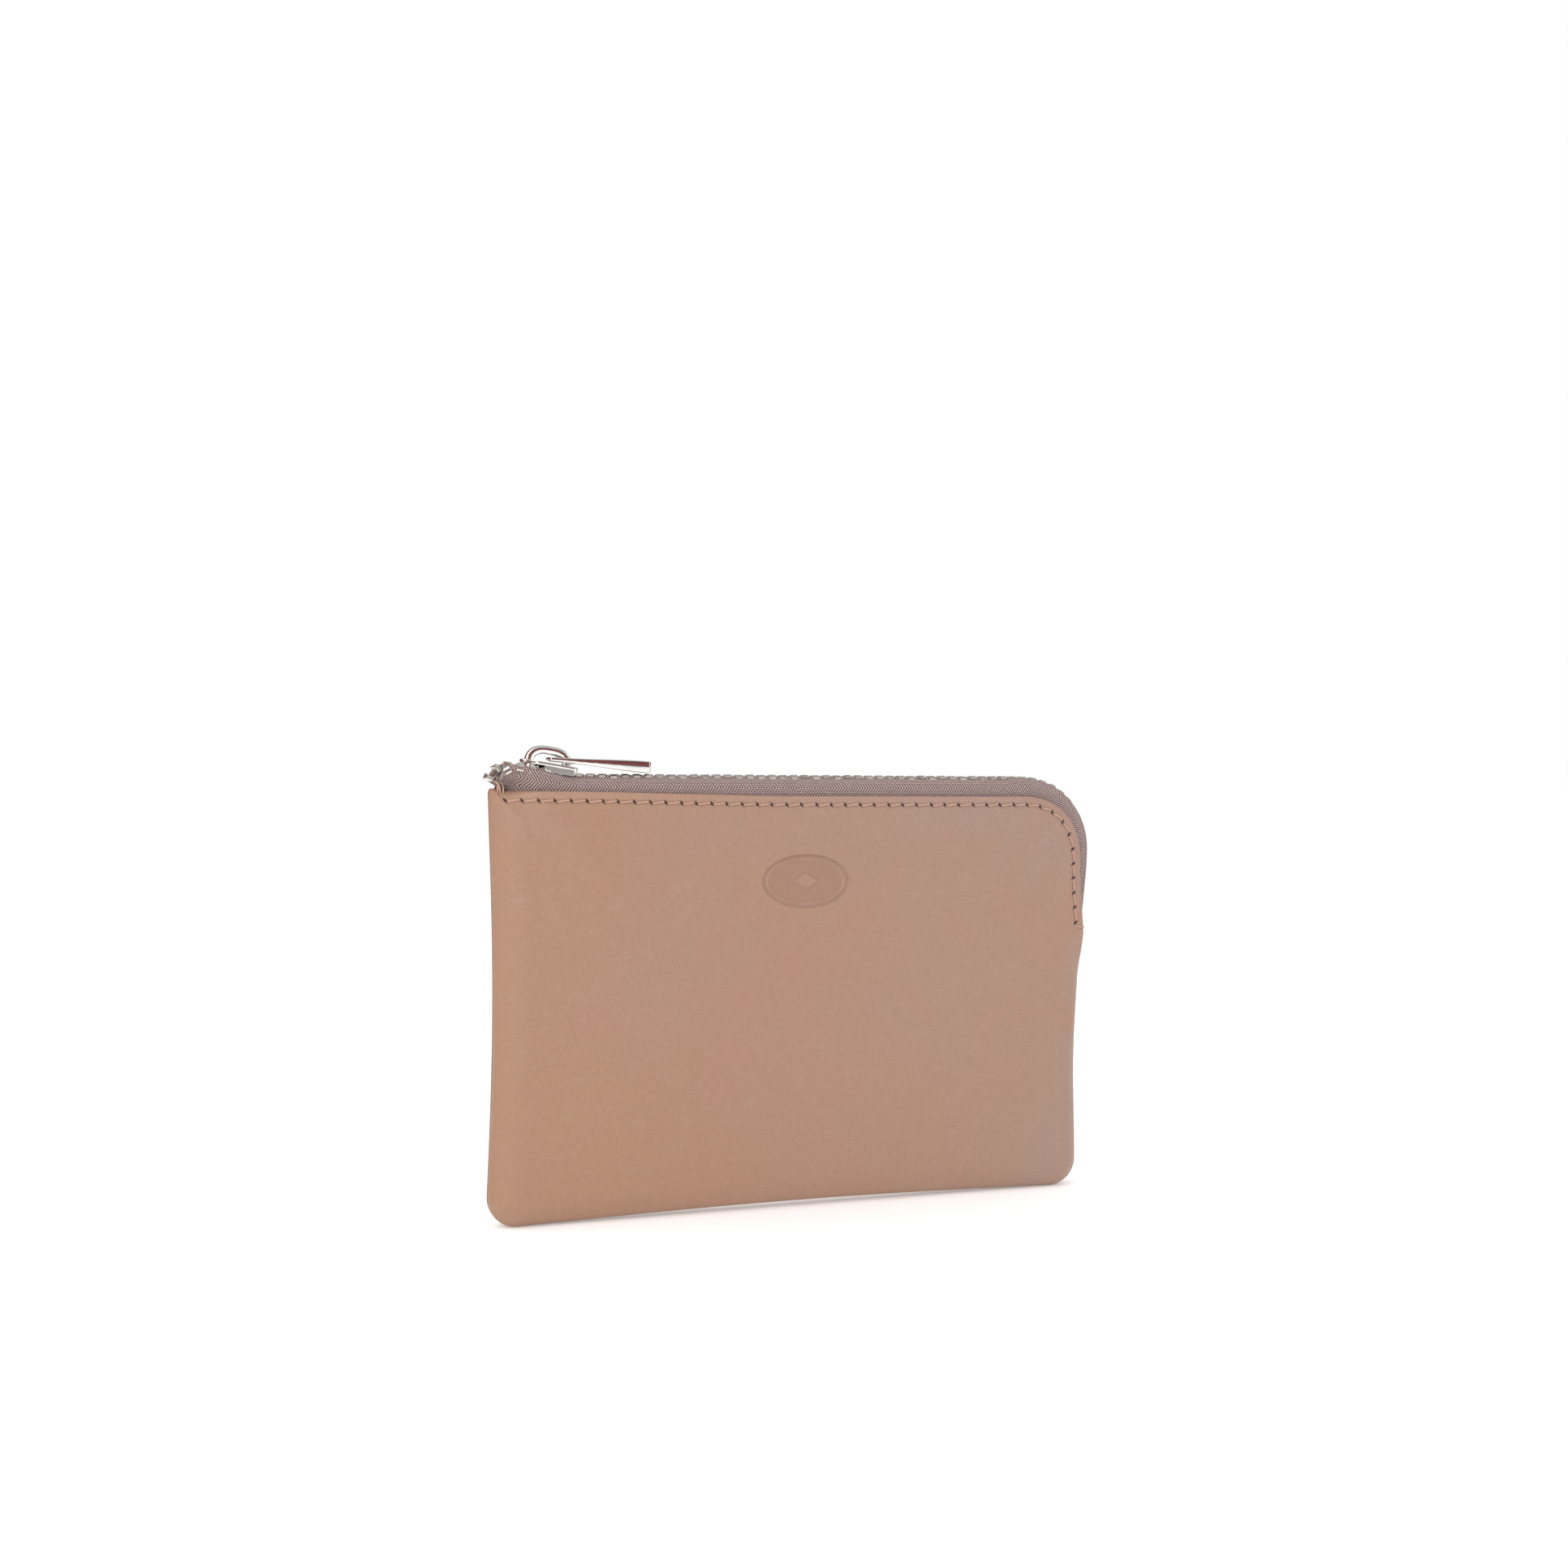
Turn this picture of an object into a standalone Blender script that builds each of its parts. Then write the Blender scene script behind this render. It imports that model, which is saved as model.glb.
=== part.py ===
# Zippered leather pouch: two domed leather panels sewn along the left side, the bottom and the
# lower right side, lined, and closed by a metal zip that runs along the top and round the top
# right corner. +Z is up, the front faces -Y, and the origin is under the middle of the pouch.

import math

import bmesh
import bpy
from mathutils import Vector

MM = 0.001

# Panels
BODY_WIDTH = 137 * MM
BODY_HEIGHT = 91 * MM
LEATHER = 1.2 * MM
BELLY_DEPTH = 6.3 * MM            # outer face of the middle of a panel, from the middle plane
BELLY_RUN = 30 * MM               # how far in from the edge the panel is still rising
ROLL_DEPTH = 4.9 * MM             # rounded edge over a sewn seam: its depth and its width
ROLL_RUN = 7 * MM
RIM_DEPTH = 5.4 * MM              # outer face of the leather's free edge beside the zip
SEAM_GAP = 0.6 * MM               # between the two panels where they are sewn
BOTTOM_RADIUS = 6.5 * MM
TOP_LEFT_RADIUS = 2 * MM
ZIP_CORNER_RADIUS = 14.3 * MM
WAIST = {-1: 0.018, 1: 0.006}     # share of the width that each side draws in at half height
BOTTOM_ARCH = 1.2 * MM            # how far the middle of the bottom seam stands off the table
LEATHER_MIDDLE = -1.2 * MM        # its middle in x, because the zip reaches further on the right
EDGE_FALL = 0.9 * MM              # how much lower the top edge is from the middle to the right
FALL_START = -62 * MM
OPEN_RUN = 9 * MM                 # length over which the seam opens to the zip's full width
OPEN_START = 1.5 * MM             # from the left seam
ZIP_END_Z = 52 * MM
END_RUN = 8 * MM                  # the same opening at the zip's right end
STITCH_END_Z = 60 * MM

# Lining
FIT_GAP = 0.3 * MM                # between pieces that lie on each other
LINING = 0.4 * MM
LINING_DROP = 2 * MM              # below the leather's free edge

# Zip: the chain plane is the middle plane of the teeth
CHAIN_Z = 93.6 * MM
TOOTH_PITCH = 2.54 * MM
TOOTH_LENGTH = 0.95 * MM          # along the chain
TOOTH_HALF_HEIGHT = 0.95 * MM
TOOTH_REACH = 0.8 * MM            # past the middle plane
CORD_INNER = 1 * MM               # bead cord, from the middle plane
CORD_OUTER = 1.95 * MM
CORD_HALF_HEIGHT = 0.7 * MM
ROW_SPREAD = 1.9 * MM             # each row, sideways, at the slider's nose
CORNER_STANDOUT = 1.8 * MM        # chain plane beyond the leather, round the corner
END_STANDOUT = 0.8 * MM           # and at its end, where it runs into the seam
TAPE = 0.5 * MM
TAPE_LEFT = -62.3 * MM
TAPE_LEAD = 2 * MM                # it closes this far above the place where the leather does
TAPE_BELOW = 11 * MM              # tape inside the pouch, from the leather's edge
CURL_RADIUS = {"front": 3.4 * MM, "back": 3.9 * MM}
CURL_LEAD = {"front": 0.6 * MM, "back": 1.5 * MM}
CURL_TURN = math.radians(84)

# Slider, in its own frame: nose at -X, chain plane at z = 0
SLIDER_X = -56.3 * MM
SLIDER_TILT = math.radians(9.5)
SLIDER_HALF = 5.85 * MM
SLOPE_EASE = 2 * MM               # of the chain, where it bends up to the slider
PLATE_LOW = 1.3 * MM
PLATE_TOP = 2.1 * MM
NOSE_RADIUS = 4.45 * MM
FLANGE_INNER = 3.6 * MM
FLANGE_OUTER = 4.25 * MM
FLANGE_START = -0.2 * MM
FLANGE_LOW = 0.4 * MM
LOWER_PLATE_HALF = 2.5 * MM
POST_HALF = 0.8 * MM
BRIDGE_HALF_LENGTH = 5 * MM
BRIDGE_HEIGHT = 3.6 * MM
BRIDGE_HALF_WIDTH = 1.1 * MM
SLOT_HALF_LENGTH = 3 * MM
SLOT_HEIGHT = 1.6 * MM

# Pull tab, in its own frame: hinge axis along Y through the origin, pointing +X
HINGE_X = 0.4 * MM               # in the slider's frame
HINGE_Z = PLATE_TOP + 0.9 * MM
PULL_SLOPE = math.radians(4.2)
PULL_LENGTH = 21.3 * MM
PULL_BAR_RADIUS = 0.42 * MM
PULL_EYE_END = 5.5 * MM
PULL_EYE_HALF = 1.4 * MM
PULL_HALF_WIDTH = (2.5 * MM, 2.95 * MM)       # at the eye and at the tip
PULL_HALF_THICK = (0.45 * MM, 1.25 * MM)

# Threads
STITCH_INSET = 2 * MM
THREAD_RADIUS = 0.25 * MM
SEAM_THREAD_RADIUS = 0.12 * MM
SEAM_THREAD_INSET = 0.6 * MM

# Corners, clockwise from the bottom left: side in x and z, radius, first and last angle, steps
CORNERS = (
    (-1, -1, BOTTOM_RADIUS, 270, 180, 5),
    (-1, 1, TOP_LEFT_RADIUS, 180, 90, 2),
    (1, 1, ZIP_CORNER_RADIUS, 90, 0, 8),
    (1, -1, BOTTOM_RADIUS, 0, -90, 5),
)
# Steps along the left, top, right and bottom edge, and how much closer they lie at its start
EDGE_STEPS = (6, 22, 12, 8)
EDGE_CROWDING = (1, 1.5, 1.5, 1)

# Insets of the rings that a face is lofted through
OUTER_RINGS = tuple(r * MM for r in (0, 0.5, 1.5, 3.2, 6, 12, 20, 31))
INNER_RINGS = tuple(r * MM for r in (0, 0.6, 2.2, 6, 16, 31))
LINING_RINGS = tuple(r * MM for r in (0, 1, 3.5, 9, 18, 31))


def clear_scene():
    for old in list(bpy.data.objects):
        bpy.data.objects.remove(old, do_unlink=True)


def smooth(t):
    t = min(max(t, 0.0), 1.0)
    return t * t * (3 - 2 * t)


def mix(a, b, t):
    return a + (b - a) * t


def material(name, colour, roughness, metallic=0.0):
    made = bpy.data.materials.new(name)
    made.use_nodes = True
    shader = made.node_tree.nodes["Principled BSDF"]
    shader.inputs["Base Color"].default_value = (*colour, 1.0)
    shader.inputs["Roughness"].default_value = roughness
    shader.inputs["Metallic"].default_value = metallic
    return made


def empty(name, parent=None):
    made = bpy.data.objects.new(name, None)
    bpy.context.scene.collection.objects.link(made)
    made.parent = parent
    return made


def finish(name, mesh_builder, look, parent):
    bmesh.ops.recalc_face_normals(mesh_builder, faces=mesh_builder.faces)
    mesh = bpy.data.meshes.new(name)
    mesh_builder.to_mesh(mesh)
    mesh_builder.free()
    mesh.materials.append(look)
    mesh.shade_smooth()
    mesh.set_sharp_from_angle(angle=math.radians(35))
    made = bpy.data.objects.new(name, mesh)
    bpy.context.scene.collection.objects.link(made)
    made.parent = parent
    return made


# ---- the pouch's outline ----

def settle(x, z):
    """The drawn-in sides, the lifted middle of the bottom and the fall of the top edge."""
    height = z / BODY_HEIGHT
    sides = 1 - WAIST[-1 if x < 0 else 1] * math.sin(math.pi * min(max(height, 0), 1))
    foot_x = BODY_WIDTH / 2 - BOTTOM_RADIUS
    lift = math.cos(math.pi * x / BODY_WIDTH) - math.cos(math.pi * foot_x / BODY_WIDTH)
    arch = BOTTOM_ARCH * lift * max(1 - height, 0) ** 2
    fall = EDGE_FALL * smooth((x - FALL_START) / -FALL_START) * max(height, 0) ** 4
    return x * sides, z + arch - min(fall, EDGE_FALL)


def ring(inset):
    """The outline drawn in by inset, clockwise from the bottom left, always as many points."""
    arcs = []
    for side_x, side_z, radius, first, last, steps in CORNERS:
        r = max(radius - inset, 0.2 * MM)
        centre_x = side_x * (BODY_WIDTH / 2 - inset - r)
        centre_z = BODY_HEIGHT / 2 + side_z * (BODY_HEIGHT / 2 - inset - r)
        angles = [math.radians(mix(first, last, k / steps)) for k in range(steps + 1)]
        arcs.append([(centre_x + r * math.cos(a), centre_z + r * math.sin(a)) for a in angles])
    points = []
    for index, arc in enumerate(arcs):
        start, end = arc[-1], arcs[(index + 1) % len(arcs)][0]
        steps = EDGE_STEPS[index]
        points += arc
        shares = [(k / steps) ** EDGE_CROWDING[index] for k in range(1, steps)]
        points += [(mix(start[0], end[0], t), mix(start[1], end[1], t)) for t in shares]
    return points


def opening(x, z):
    """0 where the panels are sewn to each other, 1 where the zip holds them apart."""
    from_left = smooth((x + BODY_WIDTH / 2 - OPEN_START) / OPEN_RUN)
    from_end = smooth((z - ZIP_END_Z) / END_RUN)
    return min(from_left, from_end)


OPENINGS = [opening(x, z) for x, z in ring(0)]
TOP_FIRST = CORNERS[0][5] + EDGE_STEPS[0] + CORNERS[1][5]
ZIP_LAST = max(i for i, share in enumerate(OPENINGS) if share > 0)
STITCH_LAST = max(i for i, (x, z) in enumerate(ring(0)) if x > 0 and z > STITCH_END_Z)


def face_depth(inset, share, wall):
    """Distance of a face from the middle plane: share is 0 over a seam and 1 beside the zip."""
    roll = math.sqrt(1 - (1 - min(inset / ROLL_RUN, 1)) ** 2)
    seam = mix(SEAM_GAP / 2, ROLL_DEPTH - wall, roll)
    edge = mix(seam, RIM_DEPTH - wall, share)
    return mix(edge, BELLY_DEPTH - wall, smooth(inset / BELLY_RUN))


def face_ring(side, inset, wall, drop=0.0):
    """One ring of a face: wall is the thickness already taken off outside of that face."""
    over_seam, by_zip = ring(inset + wall), ring(inset + drop)
    points = []
    for seam_point, zip_point, share in zip(over_seam, by_zip, OPENINGS):
        x, z = settle(mix(seam_point[0], zip_point[0], share), mix(seam_point[1], zip_point[1], share))
        points.append(Vector((x, side * face_depth(inset, share, wall), z)))
    return points


def loft(mesh_builder, rings, closed=True):
    """Quads through rings of points; returns the rings of vertices."""
    rows = [[mesh_builder.verts.new(p) for p in points] for points in rings]
    for near, far in zip(rows, rows[1:]):
        last = len(near) if closed else len(near) - 1
        for i in range(last):
            j = (i + 1) % len(near)
            mesh_builder.faces.new((near[i], near[j], far[j], far[i]))
    return rows


# ---- leather and lining ----

def shell(name, side, look, pouch, walls, insets, drop=0.0):
    """A dished sheet: out from its middle over the outer face, round the rim and back inside."""
    outer = [face_ring(side, inset, walls[0], drop) for inset in reversed(insets[0])]
    inner = [face_ring(side, inset, walls[1], drop) for inset in insets[1]]
    made = bmesh.new()
    rows = loft(made, outer + inner)
    made.faces.new(rows[0])
    made.faces.new(rows[-1])
    return finish(name, made, look, pouch)


def leather_panel(name, side, look, pouch):
    return shell(name, side, look, pouch, (0.0, LEATHER), (OUTER_RINGS, INNER_RINGS))


def lining_sheet(name, side, look, pouch):
    outer_wall = LEATHER + TAPE + 3 * FIT_GAP
    return shell(name, side, look, pouch, (outer_wall, outer_wall + LINING),
                 (LINING_RINGS, LINING_RINGS), LINING_DROP)


# ---- zip ----

def walk(start, heading, stretches, step):
    """Points and headings along straights and arcs: each stretch is a length and a turn."""
    points, x, z = [], start[0], start[1]
    for length, turn in stretches:
        count = max(round(length / step), 1)
        for _ in range(count):
            points.append((x, z, heading))
            middle = heading + turn / count / 2
            x += length / count * math.cos(middle)
            z += length / count * math.sin(middle)
            heading += turn / count
    points.append((x, z, heading))
    return points


def chain_route(row, step):
    """The chain from the left end, over the slider's slope, to its end on the right side."""
    nose_x = SLIDER_X - SLIDER_HALF * math.cos(SLIDER_TILT)
    rear_x = SLIDER_X + SLIDER_HALF * math.cos(SLIDER_TILT)
    ease = SLOPE_EASE
    ease_drop = ease * math.sin(SLIDER_TILT / 2)
    nose_z = CHAIN_Z + ease_drop + (rear_x - nose_x) * math.tan(SLIDER_TILT)
    radius, lead = CURL_RADIUS[row], CURL_LEAD[row]
    curl_end_x = nose_x - lead * math.cos(SLIDER_TILT)
    curl_end_z = nose_z + lead * math.sin(SLIDER_TILT)
    first_heading = CURL_TURN - SLIDER_TILT
    centre = (curl_end_x - radius * math.sin(SLIDER_TILT),
              curl_end_z - radius * math.cos(SLIDER_TILT))
    start = (centre[0] - radius * math.sin(first_heading),
             centre[1] + radius * math.cos(first_heading))
    corner_x = BODY_WIDTH / 2 - ZIP_CORNER_RADIUS
    corner_radius = ZIP_CORNER_RADIUS + CORNER_STANDOUT
    stretches = (
        (radius * CURL_TURN, -CURL_TURN),
        (lead + 2 * SLIDER_HALF, 0),
        (ease, SLIDER_TILT),
        (corner_x - rear_x - ease * math.cos(SLIDER_TILT / 2), 0),
        (corner_radius * math.pi / 2, -math.pi / 2),
        (6 * MM, -math.radians(3)),
        (12.2 * MM, 0),
    )
    return walk(start, first_heading, stretches, step)


def row_spread(x):
    """How far a row of teeth stands off to its side: meshed behind the slider, apart before it."""
    in_slider = (SLIDER_X + 4.5 * MM - x) / (7.5 * MM)
    past_nose = smooth((SLIDER_X - SLIDER_HALF - x) / (5 * MM))
    return ROW_SPREAD * smooth(in_slider) * (1 - 0.3 * past_nose)


def end_share(z):
    """1 along the chain, falling where it runs into the seam on the right side."""
    return mix(0.35, 1, smooth((z - ZIP_END_Z) / END_RUN))


def chain_point(x, z, heading, across, up):
    """A point beside the chain: across is along Y and up is square to the chain's run."""
    px, pz = x - up * math.sin(heading), z + up * math.cos(heading)
    sides = 1 - WAIST[1] * math.sin(math.pi * min(max(pz / BODY_HEIGHT, 0), 1))
    return Vector((px * sides if px > 0 else px, across, pz))


def teeth_row(name, side, look, pouch):
    """A bead cord with a tooth pushed out of it at every pitch, half a pitch apart per row."""
    row = "front" if side < 0 else "back"
    route = chain_route(row, 0.5 * MM)
    lengths = [0.0]
    for here, there in zip(route, route[1:]):
        lengths.append(lengths[-1] + math.hypot(there[0] - here[0], there[1] - here[1]))

    def at(length):
        for k in range(1, len(route)):
            if lengths[k] >= length:
                t = (length - lengths[k - 1]) / (lengths[k] - lengths[k - 1])
                return [mix(a, b, t) for a, b in zip(route[k - 1], route[k])]
        return route[-1]

    # Teeth are counted from the right end, so that the two rows mesh there
    phase = 0.6 * MM + (TOOTH_PITCH / 2 if side < 0 else 0)
    count = int((lengths[-1] - phase - TOOTH_LENGTH) / TOOTH_PITCH) + 1
    stations = []
    for k in reversed(range(count)):
        middle = lengths[-1] - phase - k * TOOTH_PITCH - TOOTH_LENGTH / 2
        stations += [middle - TOOTH_LENGTH / 2, middle + TOOTH_LENGTH / 2]

    sections = []
    for length in stations:
        x, z, heading = at(length)
        spread, share = row_spread(x), end_share(z) if x > 0 else 1
        inner = side * (CORD_INNER + spread) * share
        outer = side * (CORD_OUTER + spread) * share
        half = CORD_HALF_HEIGHT
        sections.append([chain_point(x, z, heading, across, up) for across, up in
                         ((inner, -half), (inner, half), (outer, half), (outer, -half))])
    made = bmesh.new()
    rows = loft(made, sections)
    made.faces.new(rows[0])
    made.faces.new(rows[-1])
    made.faces.ensure_lookup_table()
    tooth_faces = [made.faces[i * 4] for i in range(0, len(stations) - 1, 2)]
    grown = bmesh.ops.extrude_discrete_faces(made, faces=tooth_faces)["faces"]
    bmesh.ops.delete(made, geom=[f for f in tooth_faces if f.is_valid], context="FACES_ONLY")
    for index, face in enumerate(grown):
        x, z, heading = at(stations[2 * index] + TOOTH_LENGTH / 2)
        share = end_share(z) if x > 0 else 1
        reach = side * (CORD_INNER + TOOTH_REACH) * share
        up = Vector((-math.sin(heading), 0, math.cos(heading)))
        centre = face.calc_center_median()
        for vert in face.verts:
            lift = (vert.co - centre).dot(up)
            vert.co.y -= reach
            vert.co += up * math.copysign(TOOTH_HALF_HEIGHT - CORD_HALF_HEIGHT, lift)
    return finish(name, made, look, pouch)


def zip_tape(name, side, look, pouch):
    """A woven strip: out from the bead cord, down over the leather's edge and inside the pouch."""
    corner_x = BODY_WIDTH / 2 - ZIP_CORNER_RADIUS
    route = [p for p in chain_route("front", 3 * MM) if p[0] > TAPE_LEFT]
    sections = []
    for x, z, run in route:
        heading = run if x >= corner_x else 0
        on_right = x > 0
        share = opening(min(x, BODY_WIDTH / 2), z - TAPE_LEAD if on_right else BODY_HEIGHT)

        # Further in, the face beside the left seam is the one that rose from further left
        spread = row_spread(x)
        standout = chain_standout(x, z)
        top = (CORD_OUTER + FIT_GAP + spread) * (end_share(z) if on_right else 1)

        def outer_at(inset):
            from_left = share if on_right else opening(x - inset, BODY_HEIGHT)
            nearest = min(inset, x + BODY_WIDTH / 2 - 2 * LEATHER)
            return face_depth(nearest, from_left, LEATHER) - FIT_GAP

        edge = outer_at(0)
        bend = top + 1.6 * TAPE + 0.2 * (edge - top)
        slope = mix(bend, edge, 0.5)
        outer = [(top, TAPE / 2), (bend, -0.3 * TAPE), (slope, -0.45 * standout), (edge, -standout)]
        outer += [(outer_at(inset), -standout - inset) for inset in (4 * MM, TAPE_BELOW)]
        inner = [(top, -TAPE / 2), (bend - TAPE, -1.6 * TAPE)]
        inner += [(across - TAPE, up) for across, up in outer[2:]]
        outline = outer + inner[::-1]
        sections.append([chain_point(x, z, heading, side * across, up) for across, up in outline])
    made = bmesh.new()
    rows = loft(made, sections)
    made.faces.new(rows[0])
    made.faces.new(rows[-1])
    return finish(name, made, look, pouch)


def chain_standout(x, z):
    """Height of the chain plane over the leather's free edge, square to the chain."""
    corner_x = BODY_WIDTH / 2 - ZIP_CORNER_RADIUS
    if x < corner_x:
        edge_z = settle(x, BODY_HEIGHT)[1]
        return z - edge_z
    return mix(END_STANDOUT, CORNER_STANDOUT, smooth((z - ZIP_END_Z) / END_RUN))


# ---- slider and pull ----

def prism(outline, low, high, axis="Z"):
    """A closed outline pushed through from low to high along an axis."""
    made = bmesh.new()
    if axis == "Z":
        verts = [made.verts.new((a, b, low)) for a, b in outline]
        travel = Vector((0, 0, high - low))
    else:
        verts = [made.verts.new((a, low, b)) for a, b in outline]
        travel = Vector((0, high - low, 0))
    base = made.faces.new(verts)
    grown = bmesh.ops.extrude_face_region(made, geom=[base])["geom"]
    moved = [v for v in grown if isinstance(v, bmesh.types.BMVert)]
    bmesh.ops.translate(made, verts=moved, vec=travel)
    return made


def plate_outline(half_width, radius, front, rear):
    """A plate with a round nose at -X and two small round corners at its rear."""
    nose_centre = front + radius
    points = []
    for k in range(13):
        angle = math.radians(90 + 180 * k / 12)
        points.append((nose_centre + radius * math.cos(angle), radius * math.sin(angle)))
    corner = 0.8 * MM
    for centre_y, first in ((-half_width + corner, -90), (half_width - corner, 0)):
        for k in range(4):
            angle = math.radians(first + 30 * k)
            points.append((rear - corner + corner * math.cos(angle),
                           centre_y + corner * math.sin(angle)))
    return points


def arch_outline():
    """The bridge seen from the side: a flattened oval with a long slot under it."""
    def oval(half_length, height, power, count, sign):
        points = []
        for k in range(count + 1):
            angle = math.pi * k / count
            c, s = math.cos(angle), math.sin(angle)
            points.append((sign * -half_length * math.copysign(abs(c) ** (2 / power), c),
                           PLATE_TOP + height * abs(s) ** (2 / power)))
        return points

    foot = -0.3 * MM
    outer = oval(BRIDGE_HALF_LENGTH, BRIDGE_HEIGHT, 2.5, 16, 1)
    slot = oval(SLOT_HALF_LENGTH, SLOT_HEIGHT, 5.0, 10, -1)
    outer[0] = (outer[0][0], PLATE_TOP + foot)
    outer[-1] = (outer[-1][0], PLATE_TOP + foot)
    slot[0] = (slot[0][0], PLATE_TOP + foot)
    slot[-1] = (slot[-1][0], PLATE_TOP + foot)
    return outer + slot


def guide(name, mesh_builder, look, parent):
    """A shape that is joined to another object and isn't a piece of its own."""
    made = finish(name, mesh_builder, look, parent)
    made.hide_render = True
    made.display_type = "WIRE"
    return made


def join_to(base, other):
    modifier = base.modifiers.new("join " + other.name, "BOOLEAN")
    modifier.operation = "UNION"
    modifier.solver = "EXACT"
    modifier.object = other


def slider_frame(pouch):
    """An empty at the slider's middle, on the chain plane, leaning with the lifted chain."""
    frame = empty("slider_frame", pouch)
    lift = SLOPE_EASE * math.sin(SLIDER_TILT / 2) + SLIDER_HALF * math.sin(SLIDER_TILT)
    frame.location = (SLIDER_X, 0, CHAIN_Z + lift)
    frame.rotation_euler = (0, SLIDER_TILT, 0)
    return frame


def slider_body(look, frame):
    plate = plate_outline(FLANGE_OUTER, NOSE_RADIUS, -SLIDER_HALF, SLIDER_HALF)
    body = finish("slider_body", prism(plate, PLATE_LOW, PLATE_TOP), look, frame)
    lower = plate_outline(LOWER_PLATE_HALF, LOWER_PLATE_HALF, -SLIDER_HALF, SLIDER_HALF)
    join_to(body, guide("lower_plate_guide", prism(lower, -PLATE_TOP, -PLATE_LOW), look, frame))
    post = [(-5.1 * MM, 0), (-4.4 * MM, -POST_HALF), (-3.2 * MM, -POST_HALF), (-1.6 * MM, 0),
            (-3.2 * MM, POST_HALF), (-4.4 * MM, POST_HALF)]
    join_to(body, guide("post_guide", prism(post, -1.6 * MM, 1.6 * MM), look, frame))
    for side, label in ((-1, "front"), (1, "back")):
        inner, outer = side * FLANGE_INNER, side * (FLANGE_OUTER - 0.01 * MM)
        rear = SLIDER_HALF - 0.6 * MM
        flange = [(FLANGE_START, inner), (rear, inner), (rear, outer), (FLANGE_START, outer)]
        join_to(body, guide(label + "_flange_guide", prism(flange, FLANGE_LOW, 1.7 * MM), look, frame))
    arch = prism(arch_outline(), -BRIDGE_HALF_WIDTH, BRIDGE_HALF_WIDTH, "Y")
    join_to(body, guide("bridge_guide", arch, look, frame))
    return body


def pull_tab(look, frame):
    """A wedge with an eye at its thin end: two arms and a round bar through the bridge."""
    hinge = empty("pull_hinge", frame)
    hinge.location = (HINGE_X, 0, HINGE_Z)
    hinge.rotation_euler = (0, PULL_SLOPE - SLIDER_TILT, 0)

    def half_width(x):
        return mix(*PULL_HALF_WIDTH, x / PULL_LENGTH)

    def half_thick(x):
        return mix(*PULL_HALF_THICK, smooth(x / PULL_LENGTH))

    # The side view, pushed through the full width, then the eye is cut out of it
    stops = [PULL_LENGTH * k / 6 for k in range(1, 7)]
    start = 0.0
    top = [(x, half_thick(x)) for x in [start] + stops]
    side_view = top + [(x, -t) for x, t in reversed(top)]
    nose_angles = [math.radians(a) for a in (-120, -150, 180, 150, 120)]
    nose = [(PULL_HALF_THICK[0] * math.cos(a), PULL_HALF_THICK[0] * math.sin(a)) for a in nose_angles]
    made = prism(side_view + nose, -1.0, 1.0, "Y")
    for vert in made.verts:
        vert.co.y *= half_width(max(vert.co.x, 0))
    body = finish("pull_tab", made, look, hinge)

    eye_start = PULL_BAR_RADIUS
    eye = [(eye_start, -PULL_EYE_HALF), (PULL_EYE_END, -PULL_EYE_HALF),
           (PULL_EYE_END, PULL_EYE_HALF), (eye_start, PULL_EYE_HALF)]
    eye_cutter = guide("eye_guide", prism(eye, -3 * MM, 3 * MM), look, hinge)
    cut = body.modifiers.new("eye", "BOOLEAN")
    cut.operation = "DIFFERENCE"
    cut.solver = "EXACT"
    cut.object = eye_cutter
    edge = body.modifiers.new("soft edges", "BEVEL")
    edge.width = 0.18 * MM
    edge.segments = 1
    edge.limit_method = "ANGLE"
    edge.angle_limit = math.radians(50)
    return body


# ---- threads ----

def thread(name, points, radius, look, pouch, level=(0, 1, 0), sides=6):
    """A round thread through points, with flat ends: level is an axis that it never runs along."""
    made = bmesh.new()
    sections = []
    for k, point in enumerate(points):
        ahead = points[min(k + 1, len(points) - 1)] - points[max(k - 1, 0)]
        first = ahead.cross(Vector(level)).normalized()
        second = ahead.cross(first).normalized()
        sections.append([point + radius * (math.cos(2 * math.pi * i / sides) * first
                                           + math.sin(2 * math.pi * i / sides) * second)
                         for i in range(sides)])
    rows = loft(made, sections)
    made.faces.new(rows[0])
    made.faces.new(rows[-1])
    return finish(name, made, look, pouch)


def top_stitching(name, side, look, pouch):
    """The row of stitches that holds leather and tape together, just below the free edge."""
    stand_off = FIT_GAP + THREAD_RADIUS
    points = []
    drawn_in = ring(STITCH_INSET)
    for index in range(TOP_FIRST, STITCH_LAST + 1):
        share = OPENINGS[index]
        x, z = settle(*drawn_in[index])
        depth = face_depth(STITCH_INSET, share, 0) + stand_off
        points.append(Vector((x, side * depth, z)))
    return thread(name, points, THREAD_RADIUS, look, pouch)


def seam_thread(look, pouch):
    """The thread of the side and bottom seams, between the two panels."""
    drawn_in = [Vector((x, 0, z)) for x, z in (settle(*p) for p in ring(SEAM_THREAD_INSET))]
    first = ZIP_LAST + 2
    last = len(drawn_in) + CORNERS[0][5] + EDGE_STEPS[0]
    points = [drawn_in[index % len(drawn_in)] for index in range(first, last)]
    return thread("seam_thread", points, SEAM_THREAD_RADIUS, look, pouch)


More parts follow.
